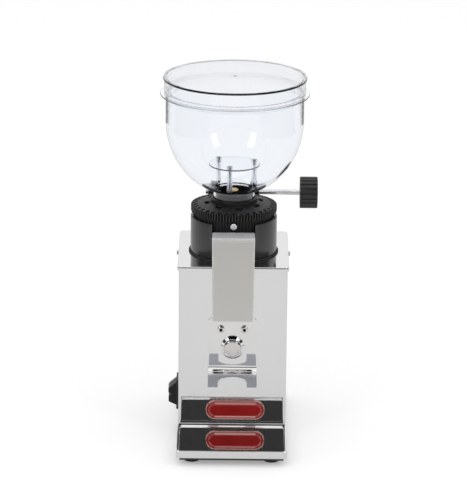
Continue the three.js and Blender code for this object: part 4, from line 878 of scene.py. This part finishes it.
upper = [channel(z, CHUTE_REAR) for z in np.linspace(188.0, 215.0, 8)]
lower = [channel(z, -62.9) for z in np.linspace(CHUTE_FOOT, 188.0, 14)]
roof_box = (-CHUTE_HALF, CHUTE_FRONT, CHUTE_HALF, CHUTE_REAR)
roof = [box_ring(roof_box, inset, CHUTE_BEND, z, 0, 6)
        for inset, z in ((0, 215.0), (0, 215.5), (0.2, 215.95), (0.7, CHUTE_TOP))]
back = wall_block((-19.4, -64.1, CHUTE_FOOT), (19.4, -62.95, 187.9))
floor_block = wall_block((-20.0, -62.9, 188.02), (20.0, CHUTE_REAR, 189.2))


def chute_painted_highlight(p):
    """Painted highlight: 1 at the bent edges between front and sides, and at the roof's edge."""
    return 1.3 - (chute_half(p[:, 2]) - np.abs(p[:, 0])) / 1.4 + 2.0 * (p[:, 2] > 214.9)


def chute_painted_shade(p):
    """Painted shade: 1 on the skins that lie more than 0.9 mm in from the outer ones."""
    deep = (chute_half(p[:, 2]) - np.abs(p[:, 0]) > 0.9) & (p[:, 1] - chute_front(p[:, 2]) > 0.9)
    return 1.0 * (deep & (p[:, 2] < 214.9))


# The masks paint a highlight on the bent edges and shade on the inside.
solid("chute_sheet", [stack(upper), stack(lower), stack(roof), back, floor_block], chute_steel,
      "machine", ["chute"], smooth=30,
      masks={"bend": chute_painted_highlight, "roof": lambda p: 1.0 * (p[:, 2] > 216.1), "inside": chute_painted_shade})

# %% [markdown]
# ## Fork
# The fork is a bent strip: a flange on the front panel, a tight bend, and a level plate with a
# deep round-bottomed slot for the portafilter's neck. We follow the strip by its length s from
# the flange's top. At each s the metal runs from an inner to an outer half width, and the inner
# one follows the slot's circle. The cut edge of the strip has a finish of its own.

# %% Fork bracket
FORK_TOP, FORK_UNDERSIDE, FORK_GAUGE = 131.7, 71.9, 2.4
FORK_FACE, FORK_TIP = -60.3, -111.0
SLOT_ROOT, SLOT_RADIUS = -79.5, 14.5  # where the slot's circle begins, seen from the body
BEND, CHAMFER = 6.0, 4.2
FLANGE_RUN = FORK_TOP - FORK_UNDERSIDE - FORK_GAUGE - BEND
SLOT_RUN = FLANGE_RUN + BEND * np.pi / 2 + (FORK_FACE - SLOT_ROOT - BEND)
TIP_RUN = SLOT_RUN + SLOT_ROOT - FORK_TIP


def fork_strip(s, rise):
    """Depth y and height z of the front skin at length s: down, round the bend, forward, up."""
    turn_angle = np.clip((s - FLANGE_RUN) / BEND, 0, np.pi / 2)
    forward = np.maximum(s - FLANGE_RUN - BEND * np.pi / 2, 0)
    y = FORK_FACE - BEND * (1 - np.cos(turn_angle)) - forward
    z = FORK_TOP - np.minimum(s, FLANGE_RUN) - BEND * np.sin(turn_angle)
    return y, z + rise * ramp(forward - 43.3, 1.4) ** 2


def fork_surface(side, columns=10):
    """Half of the strip as a grid of length and width."""
    root = SLOT_RUN + SLOT_RADIUS * (1 - np.cos(np.linspace(0, np.pi / 2, 16)))
    s = np.concatenate([
        np.linspace(0, CHAMFER, 4), np.linspace(8, FLANGE_RUN, 8),
        FLANGE_RUN + BEND * np.linspace(0.1, np.pi / 2, 14), root,
        np.linspace(root[-1] + 1, TIP_RUN, 9)])
    s = np.unique(np.round(s, 4))
    y, z = fork_strip(s, 0.3)
    into = np.clip(s - SLOT_RUN, 0, SLOT_RADIUS)
    inner = np.sqrt(np.maximum(SLOT_RADIUS ** 2 - (SLOT_RADIUS - into) ** 2, 0))
    outer = 24.6 - CHAMFER + np.clip(s, 0, CHAMFER)
    outer = outer - 1.5 * ramp(s - TIP_RUN + 1.5, 1.5) ** 2
    share = np.linspace(0, 1, columns)[None, :]
    x = side * (inner[:, None] + (outer - inner)[:, None] * share)
    grid = np.stack([x, y[:, None] + 0 * x, z[:, None] + 0 * x], axis=-1)
    return stack(grid, close_columns=False, caps=False)


fork_piece = solid("bent_fork", [fork_surface(-1), fork_surface(1)], fork_steel, "machine",
                   ["fork_bracket"], smooth=40, masks={"plate": lambda p: (-66.8 - p[:, 1]) / 0.8})
fork_piece.data.materials.append(polished_steel)
gauge = fork_piece.modifiers.new("sheet", "SOLIDIFY")
gauge.thickness, gauge.offset, gauge.use_even_offset = FORK_GAUGE * MM, -1.0, True
gauge.material_offset_rim = 1
soften = fork_piece.modifiers.new("soft edges", "BEVEL")
soften.width, soften.segments, soften.angle_limit = 0.3 * MM, 3, np.radians(50)

# %% [markdown]
# ## Screws
# Two domed screws hold the fork, one more locks the carrier, and small ones hold the plates.
# Each is a dome with a six-sided socket: the rings of the socket take their radius from the
# hexagon, the others are round.

# %% Socket screws
def socket_screw(head, height, socket, depth, shank, length, axis, at):
    """Rings from the shank's end over the head to the socket's floor."""
    t = np.linspace(0, 2 * np.pi, 48, endpoint=False)
    rise = np.linspace(0, np.pi / 2, 8)
    dome_r = socket * 1.25 + (head - socket * 1.25) * np.cos(rise)
    dome_h = height * (0.35 + 0.65 * np.sin(rise))
    rows = [(0, -length, 0), (shank, -length, 0), (shank, 0, 0), (head * 0.97, 0, 0),
            (head, height * 0.08, 0)]
    rows += [(r, h, 0) for r, h in zip(dome_r, dome_h)]
    rows += [(socket, height * 0.98, 1), (socket * 0.96, height - depth, 1), (0, height - depth, 0)]
    radius, z, six = np.array(rows).T
    around = np.where(six[:, None] > 0, 0.9 * hex_reach(t)[None, :], 1.0)
    return stack(along(polar(radius[:, None] * around, t, z[:, None]), axis, at))


for side, sign in (("left", -1), ("right", 1)):
    x, z = sign * 11.9, 118.9
    # Painted shade: the socket's mask makes it nearly black.
    socket_shade = lambda p: 1.0 * ((np.hypot(p[:, 0] - x, p[:, 2] - z) < 1.9) & (p[:, 1] < -61.5))
    screw = socket_screw(3.8, 3.2, 1.6, 1.8, 2.0, 10.0, "-y", (x, -60.6, z))
    solid(f"fork_screw_{side}_domed", [screw], bright_screw, "machine", [f"fork_screw_{side}"],
          smooth=30, masks={"socket_shade": socket_shade})
    outwards, at = "x" if sign > 0 else "-x", (sign * 56.8, 0, 180.8)
    screw = socket_screw(2.5, 1.5, 1.0, 0.9, 1.25, 4.0, outwards, at)
    solid(f"plate_screw_{side}_domed", [screw], zinc, "machine", [f"plate_screw_{side}"], smooth=30)
solid("stop_screw_socket", [socket_screw(3.75, 3.4, 1.9, 2.0, 1.9, 6.0, "-y", (0, -40.5, 221.6))],
      bright_screw, "adjuster", ["stop_screw"], smooth=30)
for number, (x, z) in enumerate([(-48.5, 15.8), (48.5, 15.8), (-48.5, 172.5), (48.5, 172.5)], 1):
    screw = socket_screw(3.2, 1.8, 1.3, 1.1, 1.3, 5.0, "y", (x, 67.8, z))
    solid(f"cover_screw_{number}_domed", [screw], zinc, "machine", [f"cover_screw_{number}"],
          smooth=30)

# %% [markdown]
# ## Start button
# A spring button in a stepped chrome bezel. Its face is slightly domed and lightly satined, so a
# mask gives the middle more grain than the shoulder.

# %% Bezel and button
BUTTON_AT = (0, -60.6, 99.5)
bezel_outline = rounded([(8.9, 3.4), (9.6, 3.4), (12.15, 1.2), (12.15, 0), (10.3, 0), (10.3, -10),
                         (2.3, -10), (2.3, -9), (8.9, -9)],
                        [0.25, 0.5, 0.5, 0.1, 0.1, 0.3, 0.2, 0.2, 0.3])
solid("button_ring", [turned(bezel_outline, 96, "-y", BUTTON_AT)], chrome, "machine",
      ["button_bezel"])

face = np.linspace(0, 1, 10)
button_outline = np.concatenate([
    np.stack([7.8 * face, 7.0 - 0.9 * face ** 2], axis=1),
    [(8.3, 5.7), (8.6, 5.2), (8.6, -5.5), (5.5, -5.5), (5.5, -2.2), (2.0, -2.2), (2.0, -10.3),
     (0, -10.3)]])


def button_face(p):
    """1 on the button's face, fading out over its last 0.6 mm."""
    return (7.4 - np.hypot(p[:, 0], p[:, 2] - BUTTON_AT[2])) / 0.6 * (p[:, 1] < -66)


satin_chrome = metal("satin chrome", (0.80, 0.79, 0.78), (0.66, 0.65, 0.64), 0.06, 0.12, 300.0,
                     0.02)
repaint(satin_chrome, "face", (0.78, 0.75, 0.72), 0.34)
solid("domed_button", [turned(button_outline, 96, "-y", BUTTON_AT)], satin_chrome, "button",
      ["start_button"], masks={"face": button_face})

# %% [markdown]
# Behind the button sits its spring. A coil is a circle carried along a helix: a point on it is
# the helix's point, plus the wire's radius times the helix's own outward and upward directions.

# %% Button spring
def coil(radius, wire, length, turns, steps_per_turn=28, sides=8):
    """A wire of round section along a helix about z."""
    t = np.linspace(0, 2 * np.pi * turns, int(turns * steps_per_turn))[:, None]
    u = np.linspace(0, 2 * np.pi, sides, endpoint=False)[None, :]
    out = radius + wire * np.cos(u)
    h = wire + (length - 2 * wire) * t / t[-1] + wire * np.sin(u)
    return polar(out, t, h)


spring = along(coil(4.7, 0.45, 3.2, 3.2) + (0, 0, -8.7), "-y", BUTTON_AT)
solid("button_coil", [stack(spring)], shaft_steel, "machine", ["button_spring"])

# %% [markdown]
# ## Badge
# The badge is left bare: a stadium-shaped plate with a bright rim, filled with a clear red drop.
# A stadium drawn in by i is a stadium whose ends have the radius R - i. The drop is nearly flat
# at its edge, rises over a narrow shoulder, and ends in a wide, hardly curved crown.

# %% Badge
BADGE_X, BADGE_Z = 3.3, 30.9
BADGE_RADIUS, BADGE_STRAIGHT = 10.3, 19.8  # half its height, and half its straight length


def badge_ring(inset, proud, steps=24):
    """The stadium drawn in by an inset, standing proud of the front panel."""
    r = max(BADGE_RADIUS - inset, 0.0)
    a = np.radians(np.linspace(-90, 90, steps))
    right = np.stack([BADGE_STRAIGHT + r * np.cos(a), 0 * a, r * np.sin(a)], axis=1)
    return np.concatenate([right, -right]) + (BADGE_X, -57.8 - proud, BADGE_Z)


def from_edge(p):
    """Each point's inset from the stadium's outline."""
    past_straight = np.maximum(np.abs(p[:, 0] - BADGE_X) - BADGE_STRAIGHT, 0)
    return BADGE_RADIUS - np.hypot(past_straight, p[:, 2] - BADGE_Z)


def badge_painted_highlight(p):
    """A painted highlight: a line 3.3 mm from the edge, stronger below, that fades out towards the
    round ends.
    """
    line = ramp(1.4 - np.abs(from_edge(p) - 3.3) / 0.7) * np.where(p[:, 2] < BADGE_Z, 1.0, 0.55)
    return line * np.clip((22 - np.abs(p[:, 0] - BADGE_X)) / 3, 0.08, 1)


edge = [(10.3, 0.0), (0.2, 0.0), (0.0, 0.2), (0.0, 0.8), (0.25, 1.1), (0.6, 1.1), (0.8, 1.0)]
shoulder = [(1.2, 1.05), (2.7, 1.1), (3.0, 1.18), (3.4, 1.4), (3.8, 1.66), (4.2, 1.84), (4.6, 1.92)]
crown = [(4.6 + 5.7 * u, 1.92 + 0.08 * np.sin(u * np.pi / 2)) for u in np.linspace(0.2, 1, 6)]
badge_rings = [badge_ring(*ring) for ring in edge + shoulder + crown]
# The mask of the pale lines is a painted highlight.
solid("bare_badge", [stack(badge_rings, caps=False)], badge_red, "machine", ["badge_plate"],
      masks={"rim": lambda p: 1.0 * (from_edge(p) < 0.85), "painted_highlight": badge_painted_highlight})

# %% [markdown]
# ## Rocker switch
# The black switch low on the left has a frame with rounded corners and a key bent in the middle.
# Both are slabs: an outline carried through a thickness, drawn in along its own normals where the
# edge rounds over.

# %% Slabs
def drawn_in(outline, by):
    """Moves each point of a closed outline inwards along the mean normal of its two sides."""
    ahead = np.roll(outline, -1, 0) - outline
    ahead = ahead / np.maximum(np.linalg.norm(ahead, axis=1), 1e-9)[:, None]
    side = np.stack([-ahead[:, 1], ahead[:, 0]], axis=1)
    ahead_x, ahead_y = np.roll(outline, -1, 0).T
    area = 0.5 * (outline[:, 0] * ahead_y - ahead_x * outline[:, 1]).sum()
    mean = side + np.roll(side, 1, 0)
    mean /= np.maximum((mean * mean).sum(1), 0.5)[:, None] / 2
    return outline + np.sign(area) * by * mean


def slab(outline, low, high, edge, axis, at, steps=4):
    """Rings of an outline from low to high with both rims rounded by a quarter circle."""
    a = np.linspace(0, np.pi / 2, steps)
    levels = np.concatenate([low + edge * (1 - np.cos(a)), high - edge * (1 - np.cos(a))[::-1]])
    insets = np.concatenate([edge * (1 - np.sin(a)), edge * (1 - np.sin(a))[::-1]])
    rings = np.stack([level(drawn_in(outline, d), z) for d, z in zip(insets, levels)])
    return stack(along(rings, axis, at))


# %% Rocker switch
SWITCH_Y, SWITCH_Z = -32.0, 41.7


def plan_box(x, y, radius):
    """A rounded rectangle about the origin with half widths x and y."""
    return rounded([(-x, -y), (x, -y), (x, y), (-x, y)], radius, 5)


def switch_ring(plan, inset, x):
    """A ring of the switch's frame, drawn in by an inset, at a depth x."""
    plan = drawn_in(plan, inset)
    return np.stack([np.full(len(plan), x), plan[:, 0] + SWITCH_Y, plan[:, 1] + SWITCH_Z], axis=1)


outer, inner, box = plan_box(12.5, 16, 1.5), plan_box(9.3, 14, 0.4), plan_box(10.8, 14.8, 0.4)
frame_rings = [switch_ring(*ring) for ring in (
    (outer, 0, -55.3), (outer, 0, -56.7), (outer, 0.2, -57.1), (outer, 0.6, -57.3),
    (inner, -0.4, -57.3), (inner, 0, -57.0), (inner, 0, -44.4), (inner, 6, -44.4),
    (box, 6, -40.4), (box, 0, -40.4), (box, 0, -55.3), (outer, 0, -55.3))]
solid("switch_frame", [stack(frame_rings[:8]), stack(frame_rings[8:])], black_plastic, "machine",
      ["rocker_bezel"], smooth=30)

key_side = rounded([
    (0, 13), (2, 12.5), (9.0, 6.5), (10.2, 4.8), (10.2, 1.0), (6.8, -1.0), (10.0, -3.2),
    (10.0, -8.8), (3.0, -12.1), (0, -13), (-1, -6), (-4, -5.2), (-6.2, -3), (-7, 0),
    (-6.2, 3), (-4, 5.2), (-1, 6),
], [0.2, 0.8, 1.2, 0.8, 1.0, 0.8, 1.0, 1.2, 0.8, 0.2] + [0.8] * 7, 4)
key_plan = np.stack([-55.3 - key_side[:, 0], key_side[:, 1] + SWITCH_Z], axis=1)
solid("rocker_moulding", [slab(key_plan, 23.0, 41.0, 0.6, "-y", (0, 0, 0))], black_plastic,
      "rocker", ["rocker_key"], smooth=40)

# %% [markdown]
# ## Feet and cord inlet
# Four rubber feet with a moulded groove, and the gland on the back through which the mains cord
# enters: a flange, a six-sided nut and a round mouth.

# %% Feet and inlet
foot_outline = rounded([(0, 0), (7.6, 0), (8.0, 0.2), (9.0, 1.6), (9.0, 3.0), (8.5, 3.3),
                        (9.0, 3.6), (9.0, 4.7), (0, 4.7)],
                       [0, 0.3, 0.2, 0.5, 0.2, 0.2, 0.2, 0.3, 0])
for end, y in (("front", -117.5), ("rear", 49.2)):
    for side, x in (("left", -40), ("right", 40)):
        name, foot = f"foot_{end}_{side}", turned(foot_outline, 48, at=(x, y, 0))
        solid(f"{name}_moulded", [foot], black_rubber, "machine", [name])


def gland_wave(t, r, h):
    """Six flats on the nut, between the flange and the mouth."""
    nut = (r > 8.6) & (h > 1.6) & (h < 3.3)
    return np.where(nut, 8.1 * hex_reach(t) - r, 0), 0 * h


gland_outline = [(4, -10), (7.9, -10), (7.9, 0), (9.9, 0), (10, 0.3), (10, 1.2), (9.8, 1.4),
                 (9.0, 1.5), (9.0, 1.7), (9.0, 3.2), (8.0, 3.3), (6.2, 3.5), (4.6, 3.5), (4.0, 3.1)]
solid("cord_gland", [turned(gland_outline, 96, "y", (25, 67.8, 30), gland_wave)], black_plastic,
      "machine", ["cord_inlet"], smooth=30)

# %% [markdown]
# ## Flat and cast pieces from their own solids
# Brackets, the rear cover and the motor's castings already have the right shape. A copy of each
# solid is merged, its flat facets are joined, and a narrow Bevel catches the light on its edges.

# %% Softened copies
def softened(node, body, material, width):
    """Replaces a CAD node by a copy of it with merged facets and rounded edges."""
    mesh = frame["nodes"][node].data.copy()
    sheet = bmesh.new()
    sheet.from_mesh(mesh)
    bmesh.ops.remove_doubles(sheet, verts=sheet.verts, dist=1e-6)
    bmesh.ops.dissolve_limit(sheet, angle_limit=np.radians(1), verts=sheet.verts, edges=sheet.edges)
    sheet.to_mesh(mesh)
    sheet.free()
    mesh.materials.clear()
    piece = finish_piece(f"{node}_softened", mesh, material, body, [node], 30)
    rounding = piece.modifiers.new("soft edges", "BEVEL")
    rounding.width, rounding.segments, rounding.angle_limit = width * MM, 2, np.radians(40)


for node, material, width in (
        ("rear_cover", polished_steel, 0.15), ("worm_bracket", black_paint, 0.5),
        ("base_plate", black_paint, 0.3), ("motor_top_bracket", cast_alloy, 0.5),
        ("motor_lower_bracket", cast_alloy, 0.5),
        ("terminal_block", black_plastic, 0.3), ("microswitch", black_plastic, 0.3)):
    softened(node, "machine", material, width)

# %% [markdown]
# A rounded edge next to a large flat would bend that flat's shading. So every piece gets a
# weighted normal: its large faces decide how it is shaded, and its narrow edges follow.

# %% Even shading
for piece in pieces:
    weighted = piece.modifiers.new("even shading", "WEIGHTED_NORMAL")
    weighted.keep_sharp = True
print("evenly shaded pieces:", len(pieces))

# %% [markdown]
# ## Everything else
# What is left lies inside: the motor, its windings and bearings, the sweeper. These solids keep
# their own meshes and take the finish that their record names.

# %% Finishes for the solids that stay
finish_of_slot = {
    "rubber": black_rubber, "polished_steel": polished_steel, "chute_steel": chute_steel,
    "black_metal": black_paint, "black_plastic": black_plastic, "clear_plastic": hopper_clear,
    "red_enamel": badge_red, "chrome": chrome, "tool_steel": tool_steel, "brass": golden_brass,
    "copper": copper, "cast_aluminium": cast_alloy, "zinc_steel": zinc,
}
finish_of_node = {"motor_stator": laminated, "motor_rotor": laminated, "drive_shaft": shaft_steel,
                  "worm_clip": shaft_steel}
for name, node in frame["nodes"].items():
    node.data.materials.clear()
    node.data.materials.append(finish_of_node.get(name, finish_of_slot[slot_of[name]]))
print("finishes on", len(frame["nodes"]), "solids")

# %% [markdown]
# ## Floor, room and lamps
# The grinder stands on a pale floor in a bright room. The camera sees both as white; metal sees a
# slightly greyer floor, which gives the front panel its tone. A dark card hangs behind the
# camera, one more stands at each side, and a dark apron lies on the floor before each of these.
# Only reflections see them. Where panel and tray meet at a right angle they send the eye's own
# ray back, so that corner shows the card behind the camera; the bent edges show the side ones.

# %% Floor and card
def stage_sheet(name, corners, material):
    """A four-cornered sheet that belongs to the room, not to the object."""
    mesh = bpy.data.meshes.new(name)
    mesh.from_pydata(corners, [], [(0, 1, 2, 3)])
    mesh.materials.append(material)
    sheet = bpy.data.objects.new(name, mesh)
    bpy.context.scene.collection.objects.link(sheet)
    return sheet


def upright(x0, y0, x1, y1, low, high):
    """The corners of a standing sheet between two places on the floor."""
    return [(x0, y0, low), (x1, y1, low), (x1, y1, high), (x0, y0, high)]


def lying(x0, y0, x1, y1, z):
    """The corners of a level sheet."""
    return [(x0, y0, z), (x1, y0, z), (x1, y1, z), (x0, y1, z)]


def seen_directly(tree):
    """1 for rays from the camera, also through clear plastic, and 0 for all others."""
    rays = put(tree, "ShaderNodeLightPath").outputs
    return calculate(tree, "MAXIMUM", rays["Is Camera Ray"], rays["Is Transmission Ray"])


FLOOR_LIFT = 0.30  # extra light of the floor where it is seen directly
floor_white, tree, inputs = new_material("floor", Base_Color=(0.74, 0.74, 0.74, 1), Roughness=0.9,
                                         Specular_IOR_Level=0.0, Emission_Color=(1, 1, 1, 1))
lift = calculate(tree, "MULTIPLY", seen_directly(tree), FLOOR_LIFT)
tree.links.new(lift, inputs["Emission Strength"])
stage_sheet("floor", lying(-9, -9, 9, 9, -5e-5), floor_white)

card_black = new_material("card", Base_Color=(0.012, 0.012, 0.014, 1))[0]
dark_sheets = [stage_sheet("card", upright(-3.0, -3.2, 3.0, -3.2, 0.85, 1.95), card_black)]
for side, x in (("left", -1), ("right", 1)):
    dark_sheets += [
        stage_sheet(f"{side} card", upright(x * 2.6, -3.2, x * 2.6, 1.0, 0.75, 1.9), card_black),
        stage_sheet(f"{side} apron", lying(x * 0.9, -1.6, x * 2.6, 0.6, 0.001), card_black)]
for sheet in dark_sheets:
    sheet.visible_camera = sheet.visible_diffuse = False
    sheet.visible_transmission = sheet.visible_shadow = False

# %% Room light
world = bpy.data.worlds.new("room")
bpy.context.scene.world = world
world.use_nodes = True
tree = world.node_tree
tree.nodes.clear()
lit, white = (put(tree, "ShaderNodeBackground", {"Color": (1, 1, 1, 1), "Strength": strength})
              for strength in (0.90, 1.0))
mixed = put(tree, "ShaderNodeMixShader", {0: seen_directly(tree), 1: lit.outputs[0],
                                          2: white.outputs[0]})
tree.links.new(mixed.outputs[0], put(tree, "ShaderNodeOutputWorld").inputs[0])


def softbox(name, at, size, power, look_at=(0, 0, 0.2)):
    """A rectangular lamp that faces a point of the grinder."""
    data = bpy.data.lights.new(name, "AREA")
    data.shape, data.size, data.size_y, data.energy = "RECTANGLE", size[0], size[1], power
    lamp = bpy.data.objects.new(name, data)
    bpy.context.scene.collection.objects.link(lamp)
    heading = Matrix.Translation(look_at).translation - Matrix.Translation(at).translation
    turn = heading.to_track_quat("-Z", "Y").to_matrix().to_4x4()
    lamp.matrix_world = Matrix.Translation(at) @ turn


softbox("left window", (-1.25, -1.45, 1.75), (0.45, 0.8), 4.2)
softbox("right window", (1.35, -1.35, 1.75), (0.45, 0.8), 3.8)
softbox("overhead", (0.0, 0.3, 2.4), (1.2, 1.2), 3)
print("room lit")
